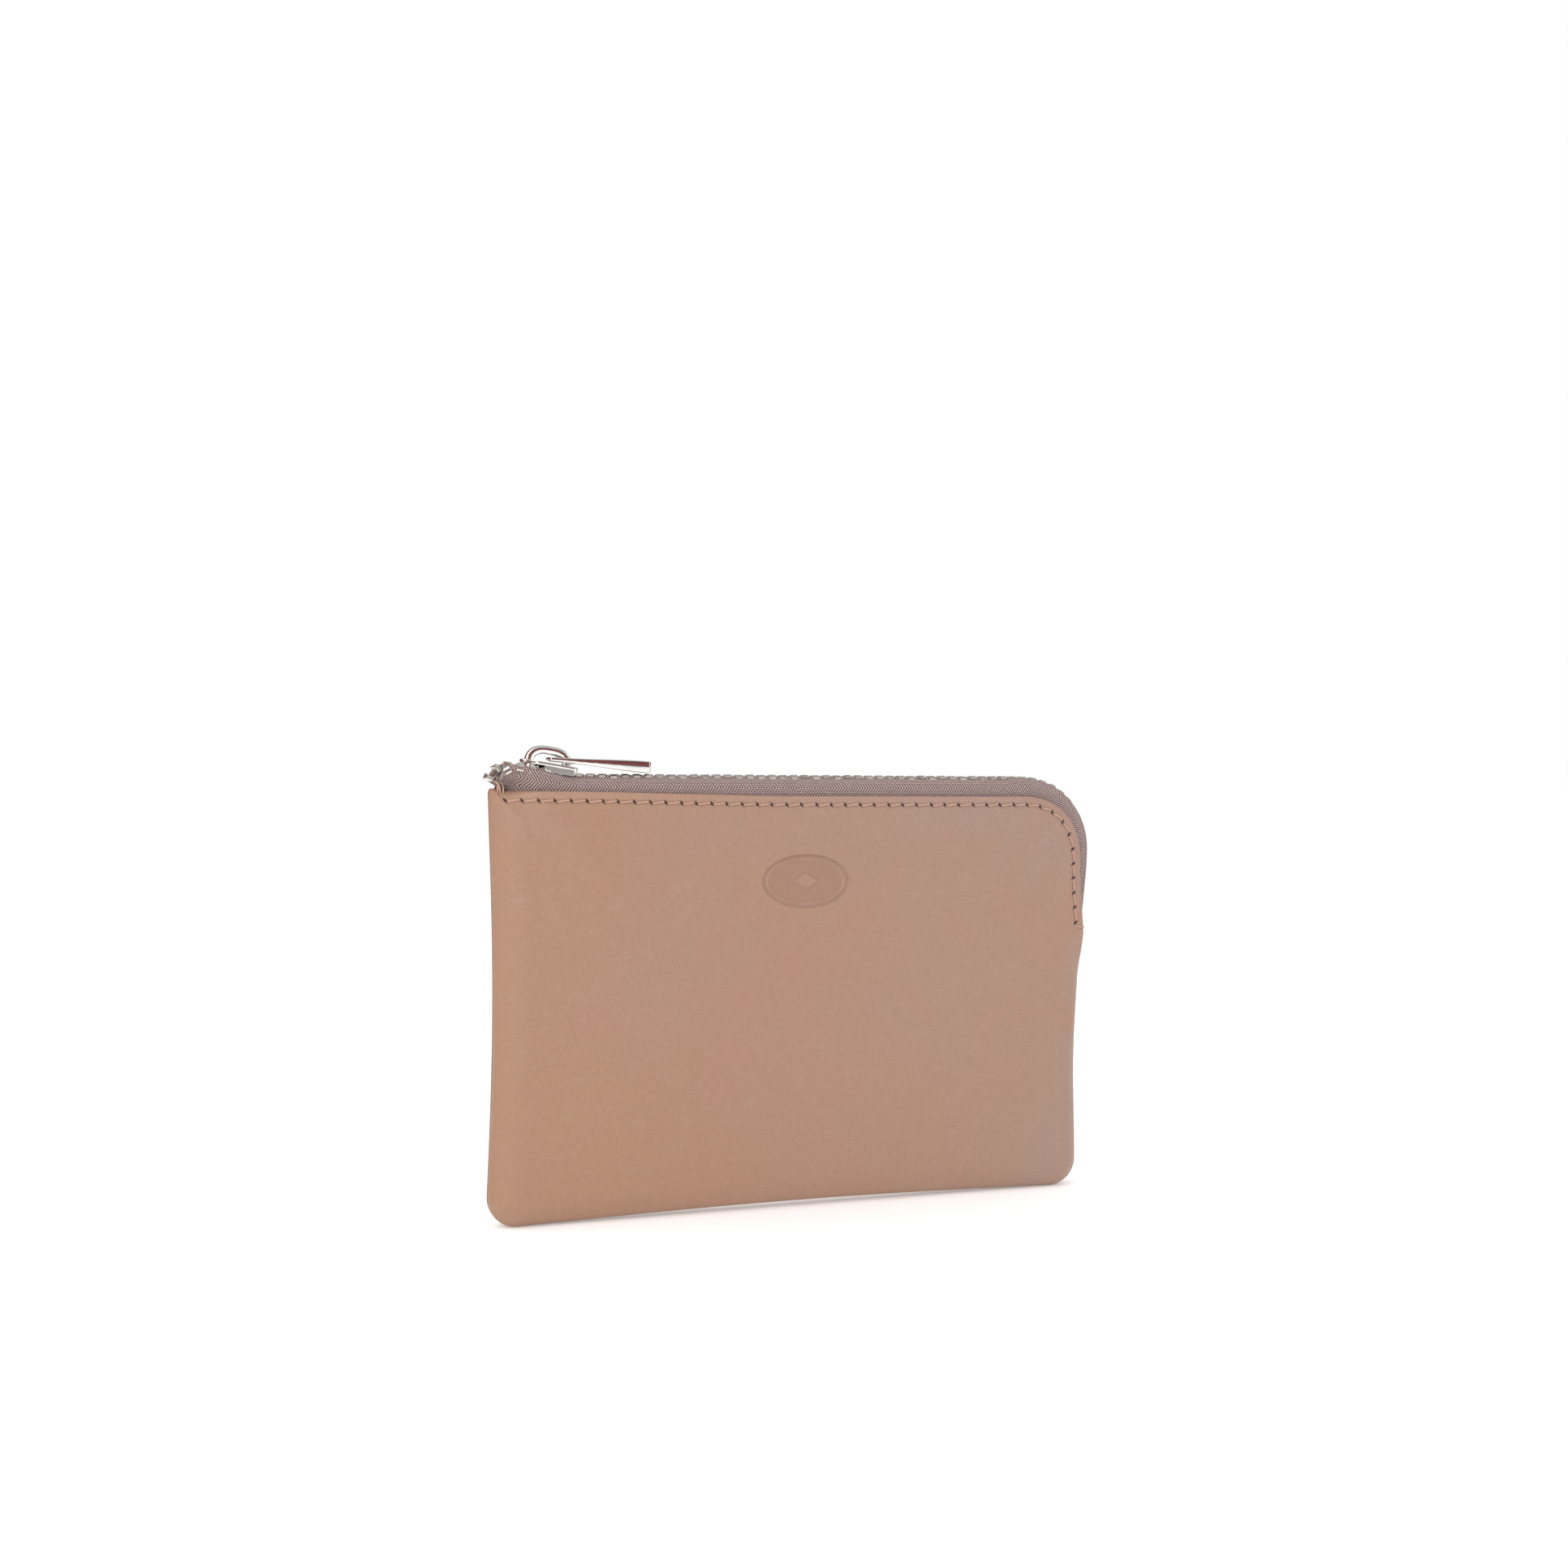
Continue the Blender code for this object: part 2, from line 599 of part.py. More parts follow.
def tacks(look, pouch):
    """The bar of thread over the zip's left end, and the one over its lower right end."""
    left_x = -BODY_WIDTH / 2 + 1.2 * MM
    left = [Vector((left_x, y * MM, BODY_HEIGHT + lift * MM))
            for y, lift in ((-1.8, 0.6), (-1.0, 1.0), (0, 1.15), (1.0, 1.0), (1.8, 0.6))]
    thread("left_tack", left, THREAD_RADIUS * 1.3, look, pouch, (1, 0, 0))
    right_x, right_z = settle(BODY_WIDTH / 2, ZIP_END_Z - 0.8 * MM)
    right = [Vector((right_x + out * MM, y * MM, right_z))
             for y, out in ((-2.0, 0.3), (-1.1, 0.65), (0, 0.75), (1.1, 0.65), (2.0, 0.3))]
    thread("right_tack", right, THREAD_RADIUS, look, pouch, (0, 0, 1))


def build():
    clear_scene()
    leather = material("leather", (0.46, 0.27, 0.19), 0.5)
    cloth = material("lining cloth", (0.24, 0.17, 0.14), 0.85)
    woven = material("zip tape", (0.36, 0.26, 0.24), 0.8)
    nickel = material("nickel", (0.62, 0.6, 0.57), 0.25, 1.0)
    polished = material("polished nickel", (0.75, 0.73, 0.71), 0.1, 1.0)
    tan_thread = material("tan thread", (0.5, 0.3, 0.2), 0.7)
    pouch = empty("pouch_frame")
    pouch.location.x = LEATHER_MIDDLE
    for side, label in ((-1, "front"), (1, "back")):
        leather_panel(label + "_panel", side, leather, pouch)
        lining_sheet(label + "_lining", side, cloth, pouch)
        zip_tape(label + "_zip_tape", side, woven, pouch)
        teeth_row(label + "_teeth", side, nickel, pouch)
        top_stitching(label + "_stitching", side, tan_thread, pouch)
    frame = slider_frame(pouch)
    slider_body(polished, frame)
    pull_tab(polished, frame)
    seam_thread(tan_thread, pouch)
    tacks(tan_thread, pouch)


build()
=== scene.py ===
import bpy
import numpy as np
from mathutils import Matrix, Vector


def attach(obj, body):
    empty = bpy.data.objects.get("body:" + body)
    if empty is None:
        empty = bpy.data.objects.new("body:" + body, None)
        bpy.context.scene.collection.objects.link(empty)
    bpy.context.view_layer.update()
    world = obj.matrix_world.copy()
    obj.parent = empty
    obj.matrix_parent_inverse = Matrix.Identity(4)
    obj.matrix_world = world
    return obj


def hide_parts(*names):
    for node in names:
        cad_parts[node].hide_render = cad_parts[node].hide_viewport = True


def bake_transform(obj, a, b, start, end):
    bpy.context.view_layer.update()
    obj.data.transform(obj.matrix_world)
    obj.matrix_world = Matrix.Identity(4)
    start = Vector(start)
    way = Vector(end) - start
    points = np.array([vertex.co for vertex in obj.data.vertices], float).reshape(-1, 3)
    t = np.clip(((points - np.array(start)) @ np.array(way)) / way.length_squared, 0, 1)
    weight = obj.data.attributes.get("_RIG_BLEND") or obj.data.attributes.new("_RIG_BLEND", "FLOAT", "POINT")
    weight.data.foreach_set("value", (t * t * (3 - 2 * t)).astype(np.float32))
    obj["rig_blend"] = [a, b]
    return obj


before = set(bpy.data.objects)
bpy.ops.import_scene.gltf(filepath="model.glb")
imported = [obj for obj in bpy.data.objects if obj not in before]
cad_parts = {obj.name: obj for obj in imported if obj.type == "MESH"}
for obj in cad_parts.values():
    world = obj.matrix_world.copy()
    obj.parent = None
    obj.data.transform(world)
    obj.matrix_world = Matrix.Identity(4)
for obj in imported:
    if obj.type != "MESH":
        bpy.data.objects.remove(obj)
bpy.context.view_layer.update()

import random
from math import atan2, copysign, cos, dist, exp, hypot, pi, radians, sin, sqrt, tan

import bmesh
import bpy
from mathutils import Matrix, Vector, noise

mm = 0.001

# ways of easing from one value to another

def smooth(t):
    t = min(max(t, 0.0), 1.0)
    return t * t * (3 - 2 * t)


def mix(a, b, t):
    return a + (b - a) * t


def hump(t):
    return exp(-t * t)


# the studio: camera, floor, sky and lamps
camera = {
    "place": (-0.13498, -0.37078, 0.09328),
    "turn": 19.402,  # degrees to the right of straight ahead
    "rise": -0.09,
    "roll": 0.295,
    "lens": 40.99,
    "sensor": 36,
}

studio = {
    "floorHalf": 20.0,
    "floorColour": (0.93, 0.93, 0.925),
    "floorSpeckle": (0.90, 0.90, 0.895),
    "floorGlow": 0.24,
    "horizon": 0.26,  # brightness of the sky, which grows from the horizon up
    "zenith": 1.05,
    "horizonAt": -0.05,
    "zenithAt": 0.75,
    # what polished metal mirrors, by the height of the direction
    "mirrored": (
        (-1.0, (0.35, 0.33, 0.31)), (-0.06, (0.40, 0.38, 0.36)), (0.0, (0.06, 0.03, 0.028)),
        (0.14, (0.30, 0.06, 0.045)), (0.26, (0.05, 0.03, 0.03)), (0.42, (0.85, 0.84, 0.82)),
        (0.56, (0.75, 0.74, 0.72)), (0.66, (0.10, 0.09, 0.09)),
        (0.80, (0.55, 0.54, 0.53)), (1.0, (0.9, 0.9, 0.9)),
    ),
    "aim": (0, 0, 0.05),
    "lamps": (
        # name, place, size in metres, watts, colour
        ("keyLamp", (-0.75, -0.75, 0.95), 0.7, 4.4, (1.0, 0.97, 0.93)),
        ("fillLamp", (0.95, -0.9, 0.55), 0.9, 2.0, (0.93, 0.96, 1.0)),
        ("sideLamp", (-0.54, -1.08, 0.26), 0.2, 1.7, (1.0, 0.97, 0.93)),
        ("rimLamp", (-0.9, 0.35, 0.5), 0.4, 1.6, (1.0, 0.98, 0.95)),
    ),
}


def setCamera():
    turn, rise, roll = (radians(camera[k]) for k in ("turn", "rise", "roll"))
    ahead = Vector((sin(turn) * cos(rise), cos(turn) * cos(rise), sin(rise)))
    level = Vector((cos(turn), -sin(turn), 0))
    upright = level.cross(ahead)
    right = cos(roll) * level + sin(roll) * upright
    up = right.cross(ahead)
    made = bpy.data.objects.new("camera", bpy.data.cameras.new("camera"))
    made.data.lens = camera["lens"]
    made.data.sensor_width = camera["sensor"]
    made.data.clip_start = 0.01
    made.data.clip_end = 100
    made.matrix_world = Matrix((right, up, -ahead)).transposed().to_4x4()
    made.location = camera["place"]
    bpy.context.scene.collection.objects.link(made)
    bpy.context.scene.camera = made


setCamera()
print("camera set")


# shader sums: a signal is one socket of a finish's nodes

class Signal:
    def __init__(self, finish, socket):
        self.finish = finish
        self.socket = socket

    def sum(self, operation, *values):
        return self.finish.add("Math", {"operation": operation}, dict(enumerate(values)))

    def __add__(self, other):
        return self.sum("ADD", self, other)

    def __sub__(self, other):
        return self.sum("SUBTRACT", self, other)

    def __rsub__(self, other):
        return self.sum("SUBTRACT", other, self)

    def __mul__(self, other):
        return self.sum("MULTIPLY", self, other)

    def __truediv__(self, other):
        return self.sum("DIVIDE", self, other)

    def __mod__(self, other):
        return self.sum("FLOORED_MODULO", self, other)

    def __abs__(self):
        return self.sum("ABSOLUTE", self)

    __radd__ = __add__
    __rmul__ = __mul__

    def wave(self):
        return self.sum("SINE", self)

    def folded(self):
        # 1 at whole numbers, 0 halfway between them
        return abs((self % 1.0 - 0.5) * 2)

    def span(self, low, high, newLow=0.0, newHigh=1.0):
        # eased from low..high to newLow..newHigh
        return self.finish.add("MapRange", {"interpolation_type": "SMOOTHSTEP"},
                               {0: self, 1: low, 2: high, 3: newLow, 4: newHigh})


class Finish:
    # the nodes of a material, or of the sky, that lead to its shader
    def __init__(self, owner, shader="Principled BSDF"):
        owner.use_nodes = True
        self.owner = owner
        self.tree = owner.node_tree
        self.shader = self.tree.nodes[shader]

    def add(self, kind, settings, sockets, output=0):
        # any node: its settings first, then the values or links of its sockets
        node = self.tree.nodes.new("ShaderNode" + kind)
        for key, value in settings.items():
            if key == "stops":
                while len(node.color_ramp.elements) < len(value):
                    node.color_ramp.elements.new(1.0)
                for element, (position, colour) in zip(node.color_ramp.elements, value):
                    element.position = position
                    element.color = (*colour, 1)
            else:
                setattr(node, key, value)
        for key, value in sockets.items():
            self.plug(node.inputs[key], value)
        return Signal(self, node.outputs[output])

    def plug(self, socket, value):
        if isinstance(value, Signal):
            self.tree.links.new(value.socket, socket)
        elif hasattr(value, "__len__") and len(value) == 3 and socket.type == "RGBA":
            socket.default_value = (*value, 1)
        else:
            socket.default_value = value

    def blend(self, first, second, share):
        return self.add("Mix", {"data_type": "RGBA"}, {0: share, 6: first, 7: second}, output=2)

    def place(self):
        return self.add("TexCoord", {}, {}, output="Object")

    def split(self, vector, axis):
        return self.add("SeparateXYZ", {}, {0: vector}, output=axis)

    def cloudy(self, scale, detail=2.0, roughness=0.5, where=None):
        return self.add("TexNoise", {}, {"Vector": where or self.place(), "Scale": scale,
                                         "Detail": detail, "Roughness": roughness})

    def cells(self, scale, where, randomness=1.0):
        return self.add("TexVoronoi", {}, {"Vector": where, "Scale": scale, "Randomness": randomness})

    def cloth(self):
        return self.add("UVMap", {"uv_map": "cloth"}, {})

    def painted(self, name):
        return self.add("Attribute", {"attribute_name": name}, {}, output="Fac")

    def raised(self, height, distance, strength):
        return self.add("Bump", {}, {"Height": height, "Distance": distance, "Strength": strength})

    def set(self, sockets):
        for name, value in sockets.items():
            self.plug(self.shader.inputs[name], value)
        return self.owner


def newFinish(name):
    return Finish(bpy.data.materials.new(name))


leather = {
    "warm": (0.385, 0.214, 0.134),
    # a cooler, paler tint, painted light where the window light falls
    "coolLit": (0.360, 0.232, 0.183),
    "rosy": (0.400, 0.205, 0.142),
    "pale": (0.43, 0.275, 0.20),
    "speck": (0.22, 0.12, 0.08),
    "pore": (0.26, 0.13, 0.083),
    "seamShade": (0.27, 0.125, 0.068),  # painted shade along the rolled seams, where the roll turns away from the light
    "turnedEdge": (0.47, 0.28, 0.20),
    "pressed": (0.27, 0.145, 0.095),
    # painted shade inside the needle holes
    "needleHoleShade": (0.045, 0.016, 0.010),
    "speckScale": 1700,
    "pebbleScale": 3100,
    "creaseScale": 1500,
    "grainDepth": 0.00012,
    "roughness": 0.33,
}


def leatherFinish():
    made = newFinish("tan leather")
    where = made.place()
    wide = made.cloudy(26, 2, 0.5, where)
    middle = made.cloudy(90, 3, 0.55, where)
    small = made.cloudy(420, 2, 0.5, where)
    specks = made.cloudy(leather["speckScale"], 2, 0.6, where)

    # the grain: fine rounded pebbles, with pores and creases between them
    pebbles = made.cells(leather["pebbleScale"], where, 0.9)
    creases = made.cells(leather["creaseScale"], where)
    pores = pebbles.span(0.35, 0.75)
    press = made.painted("press")

    # painted light with random mottling: warm at the lower left, cooler and paler at the upper right, where
    # the cool window light falls
    lightAndMottleDrift = made.split(where, "X") * 5.5 + made.split(where, "Z") * 4.5 - 0.10 + (wide - 0.5) * 1.1
    colour = made.blend(leather["warm"], leather["coolLit"], lightAndMottleDrift.span(-0.35, 0.75))
    tints = (
        ("rosy", (middle - 0.5).span(0.0, 0.22, 0.0, 0.35)),
        ("pale", (small - 0.5).span(0.0, 0.3, 0.0, 0.22)),
        ("speck", specks.span(0.30, 0.72) * 0.17),
        ("pore", pores * 0.13),
        # painted shade along the rolled seams
        ("seamShade", made.painted("fold") * 0.7),
        ("turnedEdge", made.painted("edge") * 0.30),
        ("pressed", press * 0.40),
        # painted shade inside the needle holes
        ("needleHoleShade", made.painted("needle").span(0.08, 0.5)),
    )
    for name, share in tints:
        colour = made.blend(colour, leather[name], share)
    height = (1 - pebbles) * 0.55 + (1 - creases) * 0.25 + small * 0.5
    rough = leather["roughness"] + pores * 0.12 + (middle - 0.5) * 0.12 - press * 0.06
    return made.set({"Base Color": colour, "Roughness": rough, "Specular IOR Level": 0.5,
                     "Normal": made.raised(height, leather["grainDepth"], 0.9)})


herringbone = {
    "column": 2.1,  # widths in millimetres
    "rib": 0.62,
    "yarn": 0.42,
    "slope": 0.75,
    # the darkest colour is painted shade between the ribs, the brightest a painted highlight on their tops
    "grooveShade": (0.070, 0.040, 0.038),
    "body": (0.345, 0.245, 0.235),
    "ribHighlight": (1.0, 0.84, 0.80),
    "depth": 0.00016,
}


def tapeFinish():
    made = newFinish("herringbone tape")
    cloth = made.cloth()
    along = made.split(cloth, "X")  # millimetres
    down = made.split(cloth, "Y")
    wobble = made.cloudy(0.9, 2, 0.5, cloth) - 0.5

    # diagonal ribs that change direction from one narrow column to the next
    turned = abs((down / herringbone["column"]) % 2.0 - 1.0) * herringbone["column"]
    rib = (along + turned * herringbone["slope"] + wobble * 0.25) / herringbone["rib"]
    yarn = (down + wobble * 0.2) / herringbone["yarn"]
    height = (1 - rib.folded()) * 0.75 + (1 - yarn.folded()) * 0.35
    fuzz = made.cloudy(7, 3, 0.6, cloth)
    # colour by the weave's height: painted shade low between the yarns, painted highlight on the high ribs
    colour = made.blend(herringbone["grooveShade"], herringbone["body"], height.span(0.28, 0.60))
    colour = made.blend(colour, herringbone["ribHighlight"], height.span(0.62, 1.0) * fuzz.span(0.35, 0.65))
    return made.set({"Base Color": colour, "Roughness": 0.82, "Specular IOR Level": 0.25,
                     "Normal": made.raised(height + fuzz * 0.3, herringbone["depth"], 0.9),
                     "Sheen Weight": 0.15, "Sheen Roughness": 0.5})


twist = {
    "lay": 0.55,  # millimetres along the thread from one ply to the next
    "plies": 2,
    # light is a painted highlight on each ply's crown, dark is painted shade between the plies
    "light": (0.66, 0.43, 0.34),
    "dark": (0.30, 0.155, 0.11),
    "depth": 0.00009,
}


def threadFinish():
    made = newFinish("tan thread")
    cord = made.cloth()
    ply = (made.split(cord, "X") / twist["lay"] + made.split(cord, "Y") * twist["plies"]).folded()
    fibres = made.cloudy(9, 3, 0.6, cord)
    # painted highlight on the crowns of the plies, painted shade between them
    share = (1 - ply).span(0.05, 0.7) * 0.75 + fibres * 0.25
    return made.set({"Base Color": made.blend(twist["dark"], twist["light"], share), "Roughness": 0.5,
                     "Normal": made.raised((1 - ply) + fibres * 0.35, twist["depth"], 0.8),
                     "Specular IOR Level": 0.4, "Sheen Weight": 0.2, "Sheen Roughness": 0.4})


def metalFinish(name, colour, roughness, dirt):
    made = newFinish(name)
    where = made.place()
    patches = made.cloudy(260, 3, 0.6, where)
    scuffs = made.cloudy(3200, 2, 0.6, where)
    tone = made.blend(colour, tuple(c * (1 - dirt) for c in colour), patches.span(0.42, 0.75))
    rough = roughness + patches * roughness * 0.6 + scuffs * roughness * 0.25
    return made.set({"Base Color": tone, "Roughness": rough, "Metallic": 1.0,
                     "Normal": made.raised(scuffs * 0.4 + patches * 0.6, 0.00001, 0.4)})


lining = {
    "yarn": 0.5,  # millimetres from yarn to yarn
    "dark": (0.12, 0.078, 0.06),
    "light": (0.27, 0.19, 0.155),
    "depth": 0.00010,
}


def liningFinish():
    made = newFinish("lining cloth")
    cloth = made.cloth()
    warp, weft = ((made.split(cloth, axis) * 2 * pi / lining["yarn"]).wave() for axis in "XY")
    weave = warp * weft
    fuzz = made.cloudy(3, 3, 0.6, cloth)
    colour = made.blend(lining["dark"], lining["light"], weave.span(-1, 1) * 0.7 + fuzz * 0.3)
    return made.set({"Base Color": colour, "Roughness": 0.88, "Specular IOR Level": 0.2,
                     "Normal": made.raised(weave * 0.5 + fuzz * 0.5, lining["depth"], 0.7)})


finishes = {
    "leather": leatherFinish(),
    "tape": tapeFinish(),
    "lining": liningFinish(),
    "teeth": metalFinish("nickel teeth", (0.76, 0.74, 0.67), 0.20, 0.45),
    "slider": metalFinish("polished nickel", (0.80, 0.78, 0.76), 0.09, 0.12),
    "thread": threadFinish(),
}
print("finishes wired")


# mesh making shared by the pieces

def toObject(name, mesh, material=None, sharpAngle=None):
    data = bpy.data.meshes.new(name)
    mesh.to_mesh(data)
    mesh.free()
    data.shade_smooth()
    if sharpAngle:
        data.set_sharp_from_angle(angle=radians(sharpAngle))
    if material:
        data.materials.append(material)
    made = bpy.data.objects.new(name, data)
    bpy.context.scene.collection.objects.link(made)
    return made


def makePiece(name, mesh, finish, node, body=None, sharpAngle=None):
    # a finished piece, with the CAD node it replaces, its material slot and the body it rides
    made = toObject(name, mesh, finishes[finish], sharpAngle)
    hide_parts(node)
    if body:
        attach(made, body)
    return made


def layGrid(mesh, columns, rows, place, patchPlace=None):
    # a grid whose corners go where place(column, row) says; its edges that meet are merged
    cloth = mesh.loops.layers.uv.get("cloth") or mesh.loops.layers.uv.new("cloth")
    corners = bmesh.ops.create_grid(mesh, x_segments=columns, y_segments=rows, size=0.5)["verts"]
    spots = {}
    for index, corner in enumerate(corners):
        column, row = index % (columns + 1), index // (columns + 1)
        spots[corner] = (column, row)
        corner.co = place(column, row)
    if patchPlace:
        faces = {face for corner in corners for face in corner.link_faces}
        for face in faces:
            for loop in face.loops:
                loop[cloth].uv = patchPlace(*spots[loop.vert])
    bmesh.ops.remove_doubles(mesh, verts=corners, dist=1e-7)


def lengthsOf(spots):
    # how far along a line each of its spots is
    lengths = [0.0]
    for here, there in zip(spots, spots[1:]):
        lengths.append(lengths[-1] + dist(here, there))
    return lengths


def along(spots, lengths, length):
    # the spot and direction at a length of such a line
    for k in range(1, len(spots)):
        if lengths[k] >= length or k == len(spots) - 1:
            t = (length - lengths[k - 1]) / (lengths[k] - lengths[k - 1])
            return spots[k - 1].lerp(spots[k], t), (spots[k] - spots[k - 1]).normalized()


def addThread(mesh, path, radius, level, sides=8, ends=2):
    # a round thread along path, drawn to a point at both ends; level is never along it
    steps = len(path) - 1
    lengths = lengthsOf(path)

    def place(column, row):
        ahead = path[min(row + 1, steps)] - path[max(row - 1, 0)]
        first = ahead.cross(level).normalized()
        second = ahead.cross(first).normalized()
        turn = 2 * pi * (column % sides) / sides
        fromEnd = min(row, steps - row) / ends
        r = radius * sqrt(max(1 - (1 - min(fromEnd, 1)) ** 2, 0))
        return path[row] + r * (cos(turn) * first + sin(turn) * second)

    def patchPlace(column, row):
        return lengths[row] / mm, column / sides

    layGrid(mesh, sides, steps, place, patchPlace)


def closeUp(mesh, longSlit=100):
    # openings of many edges are closed one by one with small triangles, so that they can bend
    loose = {e for e in mesh.edges if e.is_boundary}
    while loose:
        rim, fresh = set(), [loose.pop()]
        while fresh:
            edge = fresh.pop()
            rim.add(edge)
            fresh += [e for v in edge.verts for e in v.link_edges if e in loose]
            loose -= set(fresh)
        if len(rim) > longSlit:
            bmesh.ops.triangle_fill(mesh, use_beauty=True, edges=list(rim), normal=(0, 1, 0))
    bmesh.ops.holes_fill(mesh, edges=[e for e in mesh.edges if e.is_boundary], sides=0)
    bmesh.ops.recalc_face_normals(mesh, faces=mesh.faces)


def soften(mesh, edges, offset, segments):
    bmesh.ops.bevel(mesh, geom=list(edges), offset=offset, segments=segments, affect="EDGES",
                    profile=0.5, material=-1)


def layFloor():
    mesh = bmesh.new()
    bmesh.ops.create_grid(mesh, x_segments=1, y_segments=1, size=studio["floorHalf"])
    made = newFinish("pale floor")
    tone = made.blend(studio["floorColour"], studio["floorSpeckle"], made.cloudy(40, 2))
    made.set({"Base Color": tone, "Roughness": 0.75, "Specular IOR Level": 0.1,
              "Emission Color": (1, 1, 1), "Emission Strength": studio["floorGlow"]})
    toObject("floor", mesh, made.owner)


def lightStudio():
    for name, place, size, watts, colour in studio["lamps"]:
        lamp = bpy.data.lights.new(name, "AREA")
        lamp.size = size
        lamp.energy = watts
        lamp.color = colour
        made = bpy.data.objects.new(name, lamp)
        made.location = place
        made.rotation_euler = (Vector(studio["aim"]) - Vector(place)).to_track_quat("-Z", "Y").to_euler()
        bpy.context.scene.collection.objects.link(made)

    # the sky is white to look at, lights from above, and mirrors as dark flags between bright panels
    sky = Finish(bpy.data.worlds.new("studio sky"), "Background")
    height = sky.split(sky.add("TexCoord", {}, {}, output="Generated"), "Z")
    graded = sky.add("MapRange", {}, {0: height, 1: studio["horizonAt"], 2: studio["zenithAt"],
                                      3: studio["horizon"], 4: studio["zenith"]})
    stops = [((position + 1) / 2, colour) for position, colour in studio["mirrored"]]
    flags = sky.add("ValToRGB", {"stops": stops}, {0: (height + 1) / 2})
    shown = sky.blend(graded, flags, sky.add("LightPath", {}, {}, output="Is Glossy Ray"))
    shown = sky.blend(shown, (1, 1, 1), sky.add("LightPath", {}, {}, output="Is Camera Ray"))
    bpy.context.scene.world = sky.set({"Color": shown, "Strength": 1.0})
    bpy.context.scene.view_settings.view_transform = "Standard"


# the pouch's shape, as its CAD has it
pouch = {
    "width": 137 * mm,
    "height": 91 * mm,
    "middleX": -1.2 * mm,
    "leather": 1.2 * mm,
    "bellyDepth": 6.3 * mm,
    "bellyRun": 30 * mm,
    "rollDepth": 4.9 * mm,
    "rollRun": 7 * mm,
    "rimDepth": 5.4 * mm,
    "seamGap": 0.2 * mm,
    "foldRadius": 0.5 * mm,  # of the turned leather beside a seam
    "waist": {-1: 0.018, 1: 0.006},
    # the right side beside the zip: share drawn in, from what height, over what height
    "drawn": (0.012, 57 * mm, 17 * mm),
    "drawnLess": (0.6, 78 * mm, 10 * mm),  # and how much less of that further up
    # slow waves of the right side: share, height, spread
    "rightWaves": ((-0.006, 27 * mm, 12 * mm), (0.007, 49 * mm, 8 * mm)),
    "arch": 1.2 * mm,
    "edgeFall": 0.9 * mm,
    "fallStart": -62 * mm,
    "openRun": 9 * mm,
    "openStart": 1.5 * mm,
    "zipEndZ": 47 * mm,
    "endRun": 13 * mm,
    "stitchEndZ": 60 * mm,
    "cornerRadius": 14.3 * mm,
    "seamRadius": 6.5 * mm,
    # over the turned edge and the stitches: height, distance from the edge, spread
    "edgeSwell": (0.10 * mm, 0.9 * mm, 0.6 * mm),
    "stitchDraw": (0.13 * mm, 2.05 * mm, 0.45 * mm),
    "leftLift": 1.3 * mm,
    "leftLiftRun": 2.2 * mm,
    "leftLiftFrom": 80 * mm,
    "leftLiftRise": 11 * mm,
    "middleWidth": 0.45,  # what is left of the outline in the middle of a panel
    "middleHeight": 0.004,
}

# corners clockwise from the bottom left: side in x and z, radius, first and last angle, steps
corners = (
    (-1, -1, pouch["seamRadius"], 270, 180, 14),
    (-1, 1, 2 * mm, 180, 90, 8),
    (1, 1, pouch["cornerRadius"], 90, 0, 84),
    (1, -1, pouch["seamRadius"], 0, -90, 14),
)


def evenShares(steps):
    return [k / steps for k in range(1, steps)]


# shares along the left, top, right and bottom edge; the right one is closer beside the zip
zipShare = 0.27
edgeShares = (
    evenShares(56),
    evenShares(400),
    [t * zipShare for t in evenShares(60)] + [zipShare + (1 - zipShare) * t for t in [0.0] + evenShares(40)],
    evenShares(84),
)


def settle(x, z):
    # sides drawn in, middle of the bottom lifted, top edge falling to the right
    width, height = pouch["width"], z / pouch["height"]
    sides = 1 - pouch["waist"][-1] * sin(pi * min(max(height, 0), 1))
    if x > 0:
        # on the right the zip holds the leather in, and the seam below it stands out
        (share, start, run), (less, lessStart, lessRun) = pouch["drawn"], pouch["drawnLess"]
        drawn = smooth((z - start) / run) * (1 - less * smooth((z - lessStart) / lessRun))
        sides = 1 - share * drawn + sum(a * hump((z - at) / spread) for a, at, spread in pouch["rightWaves"])
    footX = width / 2 - pouch["seamRadius"]
    lift = cos(pi * x / width) - cos(pi * footX / width)
    arch = pouch["arch"] * lift * max(1 - height, 0) ** 2
    fall = pouch["edgeFall"] * smooth((x - pouch["fallStart"]) / -pouch["fallStart"]) * max(height, 0) ** 4
    return x * sides, z + arch - min(fall, pouch["edgeFall"])


def outline(inset):
    halfWidth, halfHeight = pouch["width"] / 2, pouch["height"] / 2
    arcs = []
    for sideX, sideZ, radius, first, last, steps in corners:
        r = max(radius - inset, 0.2 * mm)
        centreX = sideX * (halfWidth - inset - r)
        centreZ = halfHeight + sideZ * (halfHeight - inset - r)
        angles = [radians(mix(first, last, k / steps)) for k in range(steps + 1)]
        arcs.append([(centreX + r * cos(a), centreZ + r * sin(a)) for a in angles])
    points = []
    for index, arc in enumerate(arcs):
        start, end = arc[-1], arcs[(index + 1) % len(arcs)][0]
        points += arc
        points += [(mix(start[0], end[0], t), mix(start[1], end[1], t)) for t in edgeShares[index]]
    return points


def opening(x, z):
    # 0 where the panels are sewn to each other, 1 where the zip holds them apart
    fromLeft = smooth((x + pouch["width"] / 2 - pouch["openStart"]) / pouch["openRun"])
    fromEnd = smooth((z - pouch["zipEndZ"]) / pouch["endRun"])
    return min(fromLeft, fromEnd)


ringRadius = 7 * mm
outerRing = outline(0)
lastRing = outline(ringRadius)
openings = [opening(x, z) for x, z in outerRing]
ringCount = len(outerRing)
topFirst = corners[0][5] + 1 + len(edgeShares[0]) + corners[1][5]
zipLast = max(i for i, share in enumerate(openings) if share > 0)
stitchLast = max(i for i, (x, z) in enumerate(outerRing) if x > 0 and z > pouch["stitchEndZ"])


